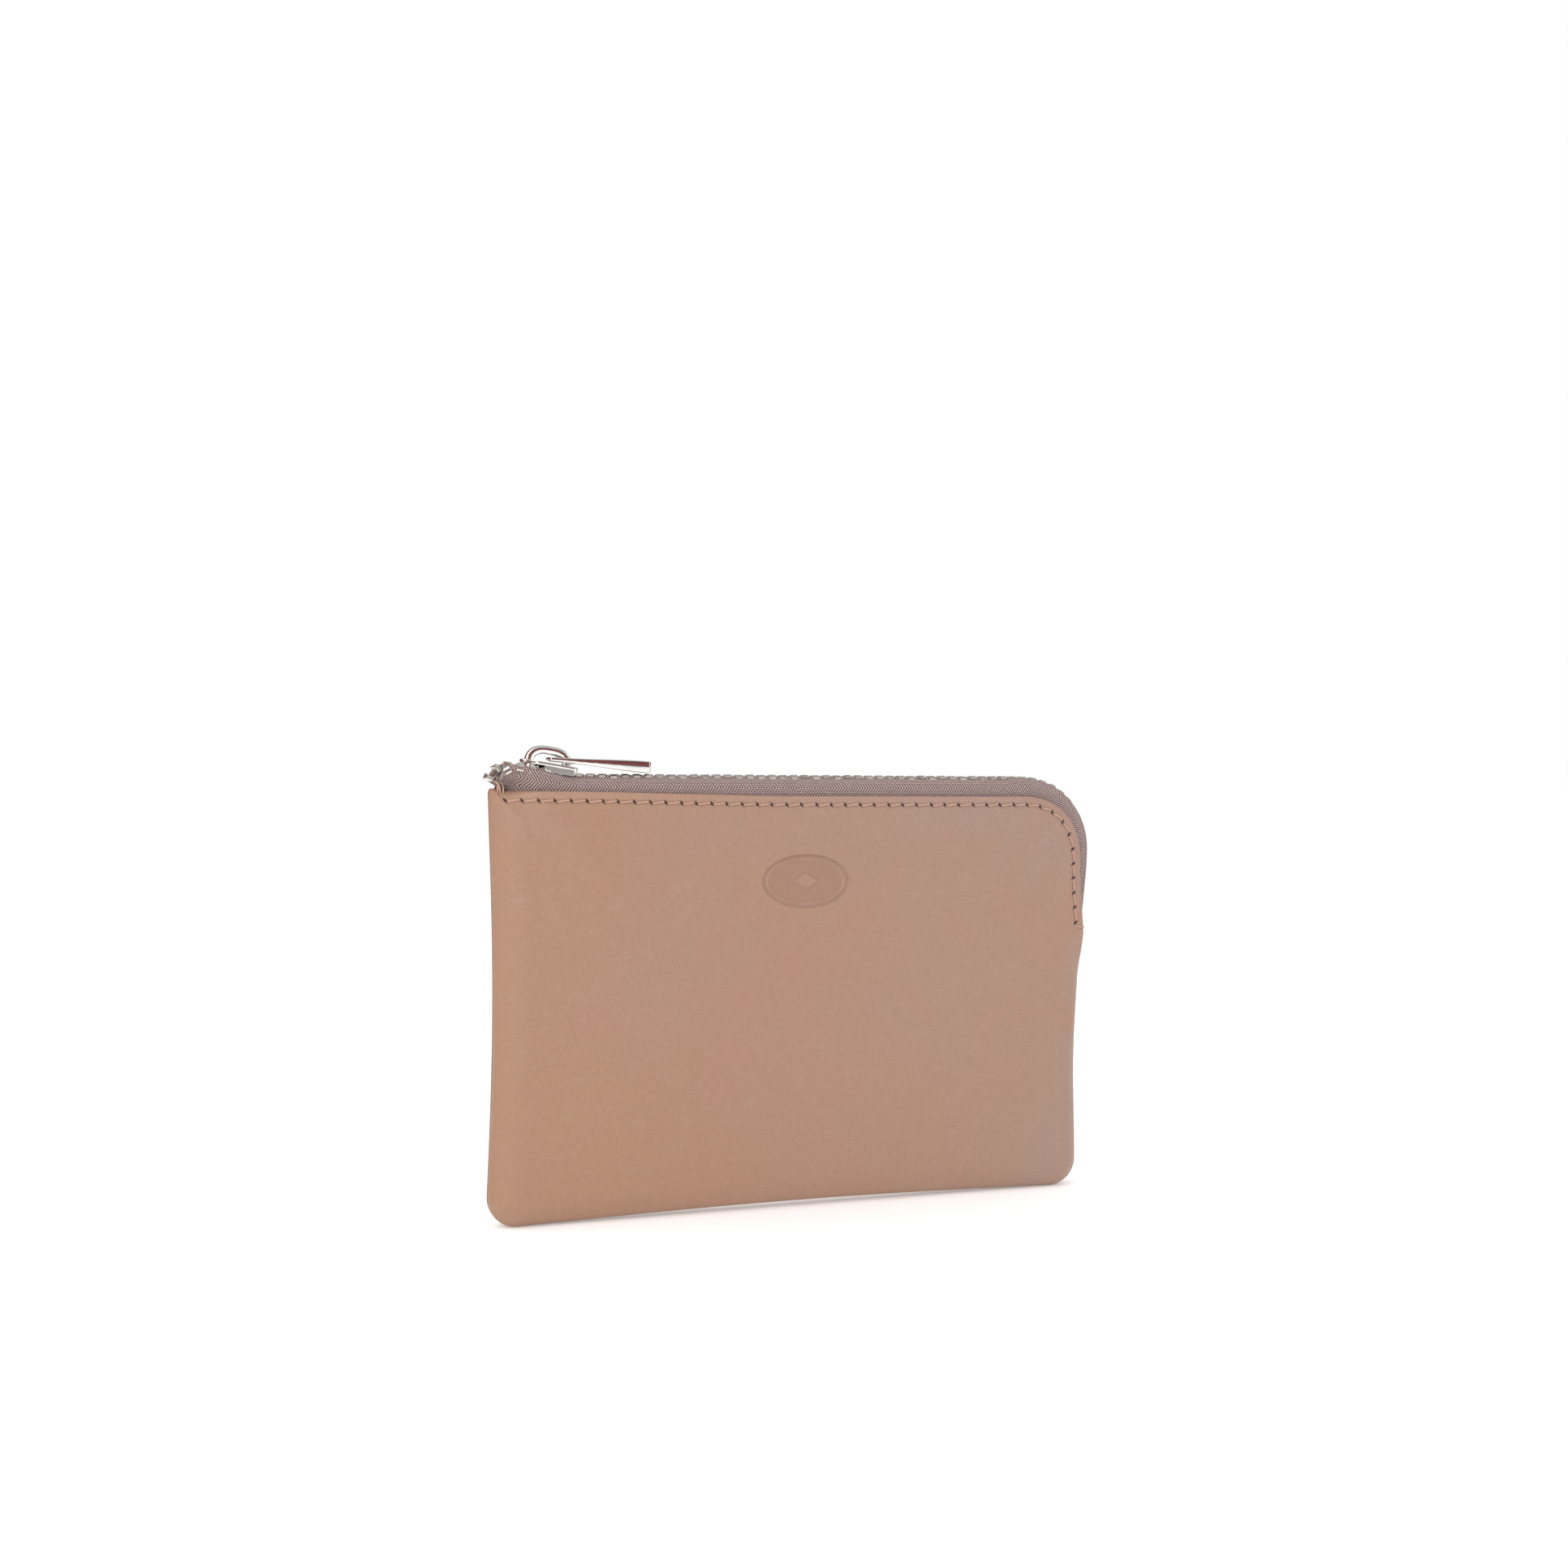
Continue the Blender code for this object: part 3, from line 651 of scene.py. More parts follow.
def spotAt(index, inset):
    # true offsets near the edge, then straight in towards the middle line
    if inset <= ringRadius:
        return rings[inset][index] if inset in rings else rings.setdefault(inset, outline(inset))[index]
    t = (inset - ringRadius) / (pouch["height"] / 2 - ringRadius)
    x, z = lastRing[index]
    middleZ = pouch["height"] / 2
    return mix(x, x * pouch["middleWidth"], t), mix(z, middleZ + (z - middleZ) * pouch["middleHeight"], t)


rings = {}


def belly(x, z):
    # how much of the belly's fullness a spot has, by its distance from each side
    halfWidth, height, run = pouch["width"] / 2, pouch["height"], pouch["bellyRun"]
    share = smooth((halfWidth - abs(x)) / run) * smooth(z / run)
    return share * smooth((height - z) / (run * 0.8))


# slow waves in the leather, and the soft folds at the zipped corner
folds = {
    "waveWidth": 23 * mm,
    "waveRise": 31 * mm,
    "wave": 0.26 * mm,
    "smallWave": 0.10 * mm,
    "smaller": 2.3,
    "waveEdge": 9 * mm,
    "centre": (55 * mm, 76 * mm),
    "heading": (0.62, 0.78),
    "reach": 13 * mm,
    "spacing": 5.2 * mm,
    "slant": 16 * mm,
    "height": 0.30 * mm,
    "edge": 4 * mm,
}


def unevenness(side, x, z):
    # how far a spot stands out through waves and folds
    where = Vector((x / folds["waveWidth"], side * 3.7, z / folds["waveRise"]))
    slow = noise.noise(where) * folds["wave"] + noise.noise(where * folds["smaller"]) * folds["smallWave"]
    nearEdge = min(pouch["width"] / 2 - abs(x), z, pouch["height"] - z)
    heading = Vector(folds["heading"])
    away = Vector((x, z)) - Vector(folds["centre"])
    across, run = away.x * heading.y - away.y * heading.x, away.dot(heading)
    fade = hump(run / folds["reach"]) * hump(across / folds["reach"]) * smooth(nearEdge / folds["edge"])
    fold = cos(pi * across / folds["spacing"] + run / folds["slant"]) * folds["height"]
    return slow * smooth(nearEdge / folds["waveEdge"]) + fold * fade


def rollShare(inset):
    return sqrt(1 - (1 - min(inset / pouch["rollRun"], 1)) ** 2)


def panelSpot(side, index, zipInset, seamInset, wall, seamDepth, rolled):
    # a spot of a face: its inset and wall beside the zip, its inset and depth over a seam
    share = openings[index]
    seamX, seamZ = spotAt(index, seamInset)
    zipX, zipZ = spotAt(index, zipInset)
    flatX, flatZ = mix(seamX, zipX, share), mix(seamZ, zipZ, share)
    edge = mix(seamDepth, pouch["rimDepth"] - wall, share)
    depth = mix(edge, pouch["bellyDepth"] - wall, belly(flatX, flatZ) * rolled)
    depth += unevenness(side, flatX, flatZ)
    if share > 0:
        # the turned edge swells a little, and the row of stitches draws the leather in
        (swell, swellAt, swellRun), (draw, drawAt, drawRun) = pouch["edgeSwell"], pouch["stitchDraw"]
        depth += share * swell * hump((zipInset - swellAt) / swellRun)
        depth -= share * draw * hump((zipInset - drawAt) / drawRun)
    x, z = settle(flatX, flatZ)
    beside = 1 - smooth((flatX + pouch["width"] / 2) / pouch["leftLiftRun"])
    z += pouch["leftLift"] * beside * smooth((flatZ - pouch["leftLiftFrom"]) / pouch["leftLiftRise"])
    return Vector((x + pouch["middleX"], side * depth, z))


def faceSpot(side, index, inset, wall, drop=0.0):
    # a spot of the outer face (no wall) or of a face further in
    rolled = rollShare(inset)
    foldDepth = pouch["foldRadius"] + pouch["seamGap"] / 2 if wall == 0 else pouch["seamGap"] / 2
    seamDepth = mix(foldDepth, pouch["rollDepth"] - wall, rolled)
    return panelSpot(side, index, inset + drop, inset + wall, wall, seamDepth, rolled)


def zipEdgeRun(side, inset):
    # the line of spots along the zipped edge and how far along it each one is
    spots = [faceSpot(side, index, inset, 0.0) for index in range(topFirst, stitchLast + 1)]
    return spots, lengthsOf(spots)


# stitches beside the zip
stitching = {
    "inset": 2.0 * mm,
    "pitch": 3.4 * mm,
    "start": 0.7 * mm,
    "end": 1.0 * mm,
    "radius": 0.21 * mm,
    "lean": 0.24 * mm,  # each end, across the row
    "holeLean": 48,
    "slit": (0.21 * mm, 0.60 * mm),  # half width and half length of a needle hole
    "slitDepth": 0.36 * mm,
    "dimple": 0.75 * mm,
    "dimpleDepth": 0.08 * mm,
    "scatter": 0.12,  # millimetres, along the row
    "fromHole": 0.22 * mm,
    "rise": 0.15 * mm,
    "sink": 0.62 * mm,
}


def stitchSpots(side):
    # where the needle went in, with the row's direction there
    spots, lengths = zipEdgeRun(side, stitching["inset"])
    usable = lengths[-1] - stitching["start"] - stitching["end"]
    count = round(usable / stitching["pitch"])
    draw = random.Random(5 if side < 0 else 9)
    found = []
    for k in range(count + 1):
        length = stitching["start"] + usable * k / count
        if 0 < k < count:
            length += draw.uniform(-stitching["scatter"], stitching["scatter"]) * mm
        found.append((length, *along(spots, lengths, length)))
    return found, spots, lengths


# the mouth opens as a lens from the left seam to the slider's far stop
lens = {
    "start": -66 * mm,
    "end": 44 * mm,
    "fullness": 1.15,
}


def moveWithMouth(piece):
    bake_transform(piece, "back", "front", start=(0, 0.001, 0), end=(0, -0.001, 0))
    weights = piece.data.attributes["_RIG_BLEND"].data
    for vert, weight in zip(piece.data.vertices, weights):
        t = min(max((vert.co.x - lens["start"]) / (lens["end"] - lens["start"]), 0), 1)
        weight.value = sin(pi * t) ** lens["fullness"]


mark = {
    "centre": (-1.2 * mm, 71.6 * mm),
    "halfWidth": 10.2 * mm,
    "halfHeight": 5.9 * mm,
    "depth": 0.34 * mm,
    "wall": 0.22 * mm,
    "line": 0.95 * mm,  # from the rim in to the fine raised line
    "lineWidth": 0.24 * mm,
    "lozenge": 1.9 * mm,
    "margin": 0.6 * mm,
}


def pressedMark(x, z):
    # a plain oval field with a fine raised line inside its rim and a small lozenge in its middle
    u, v = x - mark["centre"][0], z - mark["centre"][1]
    radial = hypot(u / mark["halfWidth"], v / mark["halfHeight"])
    inside = (1 - radial) * mark["halfHeight"] * (1 + 0.35 * abs(u) / mark["halfWidth"])
    line = hump((inside - mark["line"]) / mark["lineWidth"])
    lozenge = smooth((mark["lozenge"] - abs(u) * 0.62 - abs(v)) / mark["wall"])
    return smooth(inside / mark["wall"]) * (1 - 0.85 * line) * (1 - 0.9 * lozenge)


# a panel's rings of spots: how far in each lies, in millimetres, from the middle out and back inside
panelRings = {
    "outer": (45.2, 41, 36, 31, 27, 23.5, 20.5, 18, 15.5, 13.5, 11.8, 10.2, 9, 8, 7.2, 6.4, 5.7, 5.1, 4.5,
              4.0, 3.6, 3.25, 3.0, 2.8, 2.6, 2.45, 2.3, 2.15, 2.0, 1.85, 1.7, 1.55, 1.4, 1.2, 1.0, 0.8),
    "roll": (0.55, 0.35, 0.2, 0.08, 0.02),
    "foldTurns": (0, 18, 36, 54, 72, 90),  # degrees
    "inner": (1.2, 2.2, 3.5, 5.5, 8, 12, 18, 27, 36, 45.2),
    "faceDepth": 5.6 * mm,  # the outer face lies further out than this
    "rimDepth": 3.2 * mm,
}


def pressNeedleHoles(mesh, side, needle):
    # short slits that lean across the row, sunk, with painted shade inside them
    cell, halfWidth = 2 * mm, pouch["width"] / 2
    lean = radians(stitching["holeLean"])
    slitWidth, slitLength = stitching["slit"]
    buckets = {}
    for vert in mesh.verts:
        x, y, z = vert.co
        atRim = z > pouch["height"] - 5 * mm or x > halfWidth - 25 * mm
        if atRim and abs(y) > panelRings["rimDepth"] and z > pouch["stitchEndZ"] - 5 * mm:
            buckets.setdefault((round(x / cell), round(z / cell)), []).append(vert)
    for _, centre, ahead in stitchSpots(side)[0]:
        outwards = Vector((-ahead.z, 0, ahead.x))
        column, row = round(centre.x / cell), round(centre.z / cell)
        near = [v for i in (-1, 0, 1) for j in (-1, 0, 1) for v in buckets.get((column + i, row + j), [])]
        for vert in near:
            away = vert.co - centre
            if abs(away.y) > 0.6 * mm:
                continue
            a, b = away.dot(ahead), away.dot(outwards)
            share = hump((a * sin(lean) + b * cos(lean)) / slitWidth)
            share *= hump((a * cos(lean) - b * sin(lean)) / slitLength)
            # how much painted shade the hole puts here
            vert[needle] = max(vert[needle], share)
            dimple = stitching["dimpleDepth"] * hump(away.length / stitching["dimple"])
            vert.co.y -= side * (stitching["slitDepth"] * share + dimple)


def pressMark(mesh, press):
    # the front's outer face is made finer there first
    reachX, reachZ = mark["halfWidth"] + mark["margin"], mark["halfHeight"] + mark["margin"]
    tall = set()
    for face in mesh.faces:
        x, y, z = face.calc_center_median()
        if (y < -panelRings["faceDepth"] and abs(x - mark["centre"][0]) < reachX
                and abs(z - mark["centre"][1]) < reachZ):
            tall |= {e for e in face.edges if abs((e.verts[0].co - e.verts[1].co).z) > 0.6 * mm}
    bmesh.ops.subdivide_edges(mesh, edges=list(tall), cuts=11, use_grid_fill=True)
    for vert in mesh.verts:
        if vert.co.y < -panelRings["faceDepth"]:
            vert[press] = pressedMark(vert.co.x, vert.co.z)
            vert.co.y += mark["depth"] * vert[press]


def leatherPanel(name, side):
    outer, inner = panelRings["outer"], panelRings["inner"]
    half, radius, gap = pouch["leather"] / 2, pouch["foldRadius"], pouch["seamGap"] / 2

    # round the rim: half a circle beside the zip; over a seam, in along the roll and its fold
    seamRim = [(inset * mm, mix(radius + gap, pouch["rollDepth"], rollShare(inset * mm)))
               for inset in panelRings["roll"]]
    for turn in map(radians, panelRings["foldTurns"]):
        seamRim.append((radius * (1 - cos(turn)), radius + gap - radius * sin(turn)))
    seamRim += [(0.8 * mm, gap), (1.1 * mm, gap), (1.5 * mm, gap + 0.4 * mm)]
    turns = [radians(90 - 180 * k / (len(seamRim) - 1)) for k in range(len(seamRim))]

    def place(column, row):
        index = row % ringCount
        if column < len(outer):
            return faceSpot(side, index, outer[column] * mm, 0.0)
        column -= len(outer)
        if column < len(seamRim):
            turn = turns[column]
            wall = half * (1 - sin(turn))
            return panelSpot(side, index, half * (1 - cos(turn)), seamRim[column][0], wall,
                             seamRim[column][1], 0.0)
        return faceSpot(side, index, inner[column - len(seamRim)] * mm, pouch["leather"])

    mesh = bmesh.new()
    layGrid(mesh, len(outer) + len(seamRim) + len(inner) - 1, ringCount, place)
    needle, fold, edge, press = (mesh.verts.layers.float.new(n) for n in ("needle", "fold", "edge", "press"))
    if side < 0:
        pressMark(mesh, press)
    pressNeedleHoles(mesh, side, needle)

    height, halfWidth, far = pouch["height"], pouch["width"] / 2, 40 * mm
    for vert in mesh.verts:
        x, z = vert.co.x - pouch["middleX"], vert.co.z
        share = opening(x, z)
        toSide = min(halfWidth - abs(x), z)
        # painted shade: darker in the fold of the rolled seams, near the sides and the bottom
        vert[fold] = (1 - share) * (1 - smooth(abs(vert.co.y) / (3.6 * mm))) * (1 - smooth(toSide / (9 * mm)))
        toTop = min(height - z, far) if x < halfWidth - 16 * mm else far
        vert[edge] = share * hump(toTop / (1.6 * mm))
    closeUp(mesh)
    return makePiece(name, mesh, "leather", name.replace("Leather", "_panel"))


liningRings = {
    "insets": (45.2, 31, 18, 9, 5, 3.5, 2, 1, 0.4, 0),  # millimetres
    "wall": 2.6 * mm,  # from the leather's outer face to the cloth
    "thick": 0.4 * mm,
    "drop": 2 * mm,  # below the leather's edge
    "stride": 4,
}


def liningSheet(name, side):
    # every fourth spot of the outline, out over one face and back over the other
    insets, stride = liningRings["insets"], liningRings["stride"]

    def place(column, row):
        thick = 0 if column < len(insets) else liningRings["thick"]
        return faceSpot(side, row * stride % ringCount, (insets + insets[::-1])[column] * mm,
                        liningRings["wall"] + thick, liningRings["drop"])

    def patchPlace(column, row):
        spot = place(column, row)
        return spot.x / mm, spot.z / mm

    mesh = bmesh.new()
    layGrid(mesh, 2 * len(insets) - 1, ringCount // stride, place, patchPlace)
    closeUp(mesh)
    return makePiece(name, mesh, "lining", name.replace("Lining", "_lining"))


# the zip: its chain runs from a curl at the left end, over the slope of the slider, along the top
# and round the corner into the seam
zipper = {
    "chainZ": 93.6 * mm,
    "pitch": 2.54 * mm,
    "sliderX": -56.3 * mm,
    "sliderTilt": radians(9.5),
    "sliderHalf": 5.85 * mm,
    "rowSpread": 1.9 * mm,
    "slopeEase": 2 * mm,
    "standout": 1.5 * mm,
    "endStandout": 0.4 * mm,
    "endZ": 47 * mm,
    "endRun": 12 * mm,
    "tape": 0.5 * mm,
    "tapeBelow": 11 * mm,
    "tapeGap": 0.25 * mm,  # between tape and leather
    "tapeSpots": 26,
    "endWidth": 0.35,  # what is left of the zip's width at its lower end
    # lengths and turns beyond the corner
    "below": ((6 * mm, -radians(5)), (22.36 * mm, -radians(3))),
    "partFrom": 4.5 * mm,  # the rows part inside the slider, from here over this run
    "partRun": 7.5 * mm,
    "toothStart": 1.075 * mm,  # first tooth from the right end
    "cordMiddle": 1.7 * mm,
    "cordRadius": 0.72 * mm,
    "curlRadius": {-1: 3.4 * mm, 1: 3.9 * mm},
    "curlLead": {-1: 0.6 * mm, 1: 1.5 * mm},
    "curlTurn": radians(84),
}


def walk(start, heading, stretches, step):
    # spots and headings along straights and arcs: each stretch is a length and a turn
    spots, x, z = [], start[0], start[1]
    for length, turn in stretches:
        count = max(round(length / step), 1)
        for _ in range(count):
            spots.append((x, z, heading))
            middle = heading + turn / count / 2
            x += length / count * cos(middle)
            z += length / count * sin(middle)
            heading += turn / count
    spots.append((x, z, heading))
    return spots


def chainRoute(side, step):
    tilt, half, slideX = zipper["sliderTilt"], zipper["sliderHalf"], zipper["sliderX"]
    noseX, rearX = slideX - half * cos(tilt), slideX + half * cos(tilt)
    ease = zipper["slopeEase"]
    noseZ = zipper["chainZ"] + ease * sin(tilt / 2) + (rearX - noseX) * tan(tilt)
    radius, lead, turn = zipper["curlRadius"][side], zipper["curlLead"][side], zipper["curlTurn"]
    endX, endZ = noseX - lead * cos(tilt), noseZ + lead * sin(tilt)
    centreX, centreZ = endX - radius * sin(tilt), endZ - radius * cos(tilt)
    first = turn - tilt
    start = (centreX - radius * sin(first), centreZ + radius * cos(first))
    cornerX = pouch["width"] / 2 - pouch["cornerRadius"]
    stretches = (
        (radius * turn, -turn),
        (lead + 2 * half, 0),
        (ease, tilt),
        (cornerX - rearX - ease * cos(tilt / 2), 0),
        ((pouch["cornerRadius"] + zipper["standout"]) * pi / 2, -pi / 2),
        *zipper["below"],
    )
    return walk(start, first, stretches, step), (centreX, centreZ)


def rowSpread(x):
    # how far a row of teeth stands off to its side: meshed behind the slider, apart before it
    inSlider = (zipper["sliderX"] + zipper["partFrom"] - x) / zipper["partRun"]
    pastNose = smooth((zipper["sliderX"] - zipper["sliderHalf"] - x) / (5 * mm))
    return zipper["rowSpread"] * smooth(inSlider) * (1 - 0.3 * pastNose)


def endShare(x, z):
    # 1 along the chain, falling where it runs into the seam on the right side
    return mix(zipper["endWidth"], 1, smooth((z - zipper["endZ"]) / zipper["endRun"])) if x > 0 else 1


def chainSpot(x, z, heading, across, up):
    # a spot beside the chain: across is along Y and up is square to the chain's run
    px, pz = x - up * sin(heading), z + up * cos(heading)
    sides = 1 - pouch["waist"][1] * sin(pi * min(max(pz / pouch["height"], 0), 1))
    return Vector(((px * sides if px > 0 else px) + pouch["middleX"], across, pz))


def chainStandout(x, z):
    # height of the chain over the leather's free edge
    if x < pouch["width"] / 2 - pouch["cornerRadius"]:
        return z - settle(x, pouch["height"])[1]
    return mix(zipper["endStandout"], zipper["standout"], smooth((z - zipper["endZ"]) / zipper["endRun"]))


def through(points, count):
    # count + 1 points on a smooth curve through points
    curve = []
    spans = len(points) - 1
    for k in range(count + 1):
        t = k / count * spans
        i = min(int(t), spans - 1)
        t -= i
        before, here, there, after = (points[min(max(i + n, 0), spans)] for n in (-1, 0, 1, 2))
        curve.append(tuple(
            b + 0.5 * t * (c - a + t * (2 * a - 5 * b + 4 * c - d + t * (3 * (b - c) + d - a)))
            for a, b, c, d in zip(before, here, there, after)))
    return curve


def zipTape(name, side):
    # woven strip with its bead cord: out from under the teeth, down over the leather's edge, inside
    route, curlCentre = chainRoute(side, 0.6 * mm)
    cornerX = pouch["width"] / 2 - pouch["cornerRadius"]
    thick, cord, cordAt = zipper["tape"], zipper["cordRadius"], zipper["cordMiddle"]
    halfWidth, gap = pouch["width"] / 2, zipper["tapeGap"]
    outerCount = zipper["tapeSpots"]
    sections = []
    for x, z, run in route:
        onRight = x > 0
        squeeze = endShare(x, z)
        share = opening(min(x, halfWidth), z - 1 * mm if onRight else pouch["height"])
        spread = rowSpread(x)
        curled = x < zipper["sliderX"] - zipper["sliderHalf"]
        lowX = mix(curlCentre[0], x, 0.45) if curled else x
        standout = chainStandout(lowX, z)
        middle = (cordAt + spread) * squeeze

        def outerAt(inset):
            fromLeft = share if onRight else opening(lowX - inset * 0.6, pouch["height"])
            nearest = min(inset, lowX + halfWidth - 2 * pouch["leather"])
            roll = rollShare(max(nearest, 0))
            seam = mix(0.3 * mm, pouch["rollDepth"] - pouch["leather"], roll)
            rim = mix(seam, pouch["rimDepth"] - pouch["leather"], fromLeft)
            return mix(rim, pouch["bellyDepth"] - pouch["leather"], smooth(inset / pouch["bellyRun"])) - gap

        edge = outerAt(0)
        start = middle + cord * 0.75 * squeeze
        bend = start + 0.9 * mm * squeeze + 0.2 * (edge - start)
        raised = smooth((x - 47 * mm) / (8 * mm)) * squeeze
        line = [(start, 0.42 * cord), (mix(start, bend, 0.5), mix(0.36, 1.0, raised) * thick),
                (bend, mix(-0.35, 0.75, raised) * thick),
                (mix(bend, edge, 0.55), -0.45 * standout), (edge, -standout),
                (outerAt(4 * mm), -standout - 4 * mm),
                (outerAt(zipper["tapeBelow"]), -standout - zipper["tapeBelow"])]
        outer = through(line, outerCount)
        inner = []
        for k, (across, up) in enumerate(outer):
            ahead, behind = outer[min(k + 1, outerCount)], outer[max(k - 1, 0)]
            a, b = (ahead[n] - behind[n] for n in (0, 1))
            inner.append((across + b / hypot(a, b) * thick, up - a / hypot(a, b) * thick))
        bead = [(middle + cord * cos(radians(t)), cord * sin(radians(t)))
                for t in (-60, -95, -130, -165, 160, 125, 90, 55)]
        profile = bead + outer + inner[::-1]
        spots = []
        for across, up in profile:
            if curled and up < 0:
                # on the curl the strip narrows towards the leather's edge below the curl's middle
                t = min(-up / standout, 1)
                spot = chainSpot(mix(x, lowX, t), z + up, 0, side * across, 0)
            else:
                spot = chainSpot(x, z, run if x >= cornerX else 0, side * across, up)
            spots.append(spot)
        sections.append((spots, lengthsOf(profile)))
    runs = lengthsOf([spot[:2] for spot in route])
    around = len(sections[0][0])

    def place(column, row):
        return sections[row][0][column % around]

    def patchPlace(column, row):
        return runs[row] / mm, sections[row][1][column % around] / mm + (side + 1) * 1.7

    mesh = bmesh.new()
    layGrid(mesh, around, len(sections) - 1, place, patchPlace)
    closeUp(mesh)
    return makePiece(name, mesh, "tape", name.replace("Tape", "_zip_tape"))


# one tooth, in millimetres: X along the chain, Y outwards from the chain's middle, Z up
tooth = {
    "length": 1.25,
    "headTip": -0.85,
    "headEnd": 1.1,
    "halfHeight": 1.05,
    "slot": 0.5,  # half the gap between the legs
    "legLength": 1.55,
    "legOut": 0.95,
    "clampOut": 0.8,
    "clampDown": 0.42,
    "soften": 0.16,
    "tip": (0.72, 1, 0.8),  # how the head narrows
    "roll": 2.5,  # degrees by which teeth lie askew, at most
}


def toothShape():
    mesh = bmesh.new()
    made = bmesh.ops.create_cube(mesh, size=1)
    bmesh.ops.scale(mesh, vec=(tooth["length"], tooth["headEnd"] - tooth["headTip"], 2 * tooth["halfHeight"]),
                    verts=made["verts"])
    bmesh.ops.translate(mesh, vec=(0, (tooth["headEnd"] + tooth["headTip"]) / 2, 0), verts=made["verts"])
    for height in (tooth["slot"], -tooth["slot"]):
        bmesh.ops.bisect_plane(mesh, geom=mesh.verts[:] + mesh.edges[:] + mesh.faces[:],
                               plane_co=(0, 0, height), plane_no=(0, 0, 1))
    # two legs grow from the back of the head, then turn in to clamp the tape
    legs = [f for f in mesh.faces if f.normal.y > 0.9 and abs(f.calc_center_median().z) > tooth["slot"]]
    widen = tooth["legLength"] / tooth["length"]
    for out, down, wider in ((tooth["legOut"], 0, widen), (tooth["clampOut"], tooth["clampDown"], 1)):
        grown = bmesh.ops.extrude_discrete_faces(mesh, faces=legs)["faces"]
        bmesh.ops.delete(mesh, geom=[f for f in legs if f.is_valid], context="FACES_ONLY")
        for face in grown:
            sign = copysign(1, face.calc_center_median().z)
            for vert in face.verts:
                vert.co.y += out
                vert.co.z -= sign * down
                vert.co.x *= wider
        legs = grown
    tip = [v for v in mesh.verts if v.co.y < tooth["headTip"] + 0.01]
    bmesh.ops.scale(mesh, vec=tooth["tip"], verts=tip)
    bmesh.ops.recalc_face_normals(mesh, faces=mesh.faces)
    sharp = [e for e in mesh.edges if e.is_manifold and e.calc_face_angle() > radians(55)
             and e.calc_length() > 0.5]
    soften(mesh, sharp, tooth["soften"], 1)
    shape = bpy.data.meshes.new("one tooth")
    mesh.to_mesh(shape)
    mesh.free()
    return shape


def teethRow(name, side):
    route = [Vector(spot) for spot in chainRoute(side, 0.4 * mm)[0]]
    lengths = lengthsOf([spot[:2] for spot in route])
    end = lengths[-1]

    # counted from the right end, half a pitch apart in the two rows, so that they mesh there
    pitch = zipper["pitch"]
    phase = zipper["toothStart"] + (pitch / 2 if side < 0 else 0)
    shape = toothShape()
    draw = random.Random(21 if side < 0 else 34)
    mesh = bmesh.new()
    for k in range(int((end - phase - 0.4 * mm) / pitch) + 1):
        length = end - phase - k * pitch
        x, z, heading = along(route, lengths, length)[0]
        spread, squeeze = rowSpread(x), endShare(x, z)
        spot = chainSpot(x, z, heading, side * spread * squeeze, 0)
        # where the rows part, each tooth leans with its row
        ahead, behind = (along(route, lengths, at)[0] for at in (min(length + mm, end), max(length - mm, 0)))
        splay = atan2(rowSpread(ahead.x) - rowSpread(behind.x), 2 * mm) * side
        before = len(mesh.verts)
        mesh.from_mesh(shape)
        mesh.verts.ensure_lookup_table()
        askew = radians(draw.uniform(-tooth["roll"], tooth["roll"]))
        turn = (Matrix.Rotation(-heading, 4, "Y") @ Matrix.Rotation(splay, 4, "Z")
                @ Matrix.Rotation(askew, 4, "X"))
        shrink = Matrix.Diagonal((mm, side * mm * squeeze, mm * mix(squeeze, 1, 0.5), 1))
        bmesh.ops.transform(mesh, matrix=Matrix.Translation(spot) @ turn @ shrink, verts=mesh.verts[before:])
    bmesh.ops.recalc_face_normals(mesh, faces=mesh.faces)
    bpy.data.meshes.remove(shape)
    return makePiece(name, mesh, "teeth", name.replace("Teeth", "_teeth"), sharpAngle=30)


def threadPiece(name, node, paths, radius, level=(0, 1, 0), body="back", sides=8, ends=2):
    mesh = bmesh.new()
    for path in paths:
        addThread(mesh, path, radius, Vector(level), sides, ends)
    bmesh.ops.recalc_face_normals(mesh, faces=mesh.faces)
    return makePiece(name, mesh, "thread", node, body)


def stitchRow(name, side):
    holes, spots, lengths = stitchSpots(side)
    paths, steps = [], 12
    for here, there in zip(holes, holes[1:]):
        start, end = here[0] + stitching["fromHole"], there[0] - stitching["fromHole"]
        path = []
        for k in range(steps + 1):
            t = k / steps
            spot, ahead = along(spots, lengths, mix(start, end, t))
            outwards = Vector((-ahead.z, 0, ahead.x))
            rise = stitching["rise"] - stitching["sink"] * abs(2 * t - 1) ** 7
            path.append(spot + outwards * mix(-stitching["lean"], stitching["lean"], t)
                        + Vector((0, side, 0)) * rise)
        paths.append(path)
    return threadPiece(name, name.replace("Stitches", "_stitching"), paths, stitching["radius"], body=None)


# the slider in its own frame, in millimetres: nose at -X, chain in the plane of z = 0
slider = {
    "half": 5.85,
    "plateHalf": 4.25,
    "plateLow": 1.3,
    "plateTop": 2.1,
    "noseRound": 4.15,
    "rearRound": 0.9,
    "soften": 0.22,
    "flange": (-1.3, 5.55, 3.6, 4.2, 0.15),  # from, to, inside, outside, lowest
    "lowerHalf": 2.5,
    "bridgeHalf": 4.05,
    "bridgeHeight": 2.7,
    "bridgeWidth": 1.15,
    "bridgeThick": 0.9,
    "bridgeSquare": 0.72,  # below 1 the arch and its bar are squarer than round
    "barSquare": 0.4,
    "bridgeFoot": 0.5,  # how deep it stands in the plate
    "post": (0.85, 3.4, -3.3),  # radius, height, place along the slider
    "postScale": (1.9, 0.95, 1),
    "flangeRound": 0.75,
}


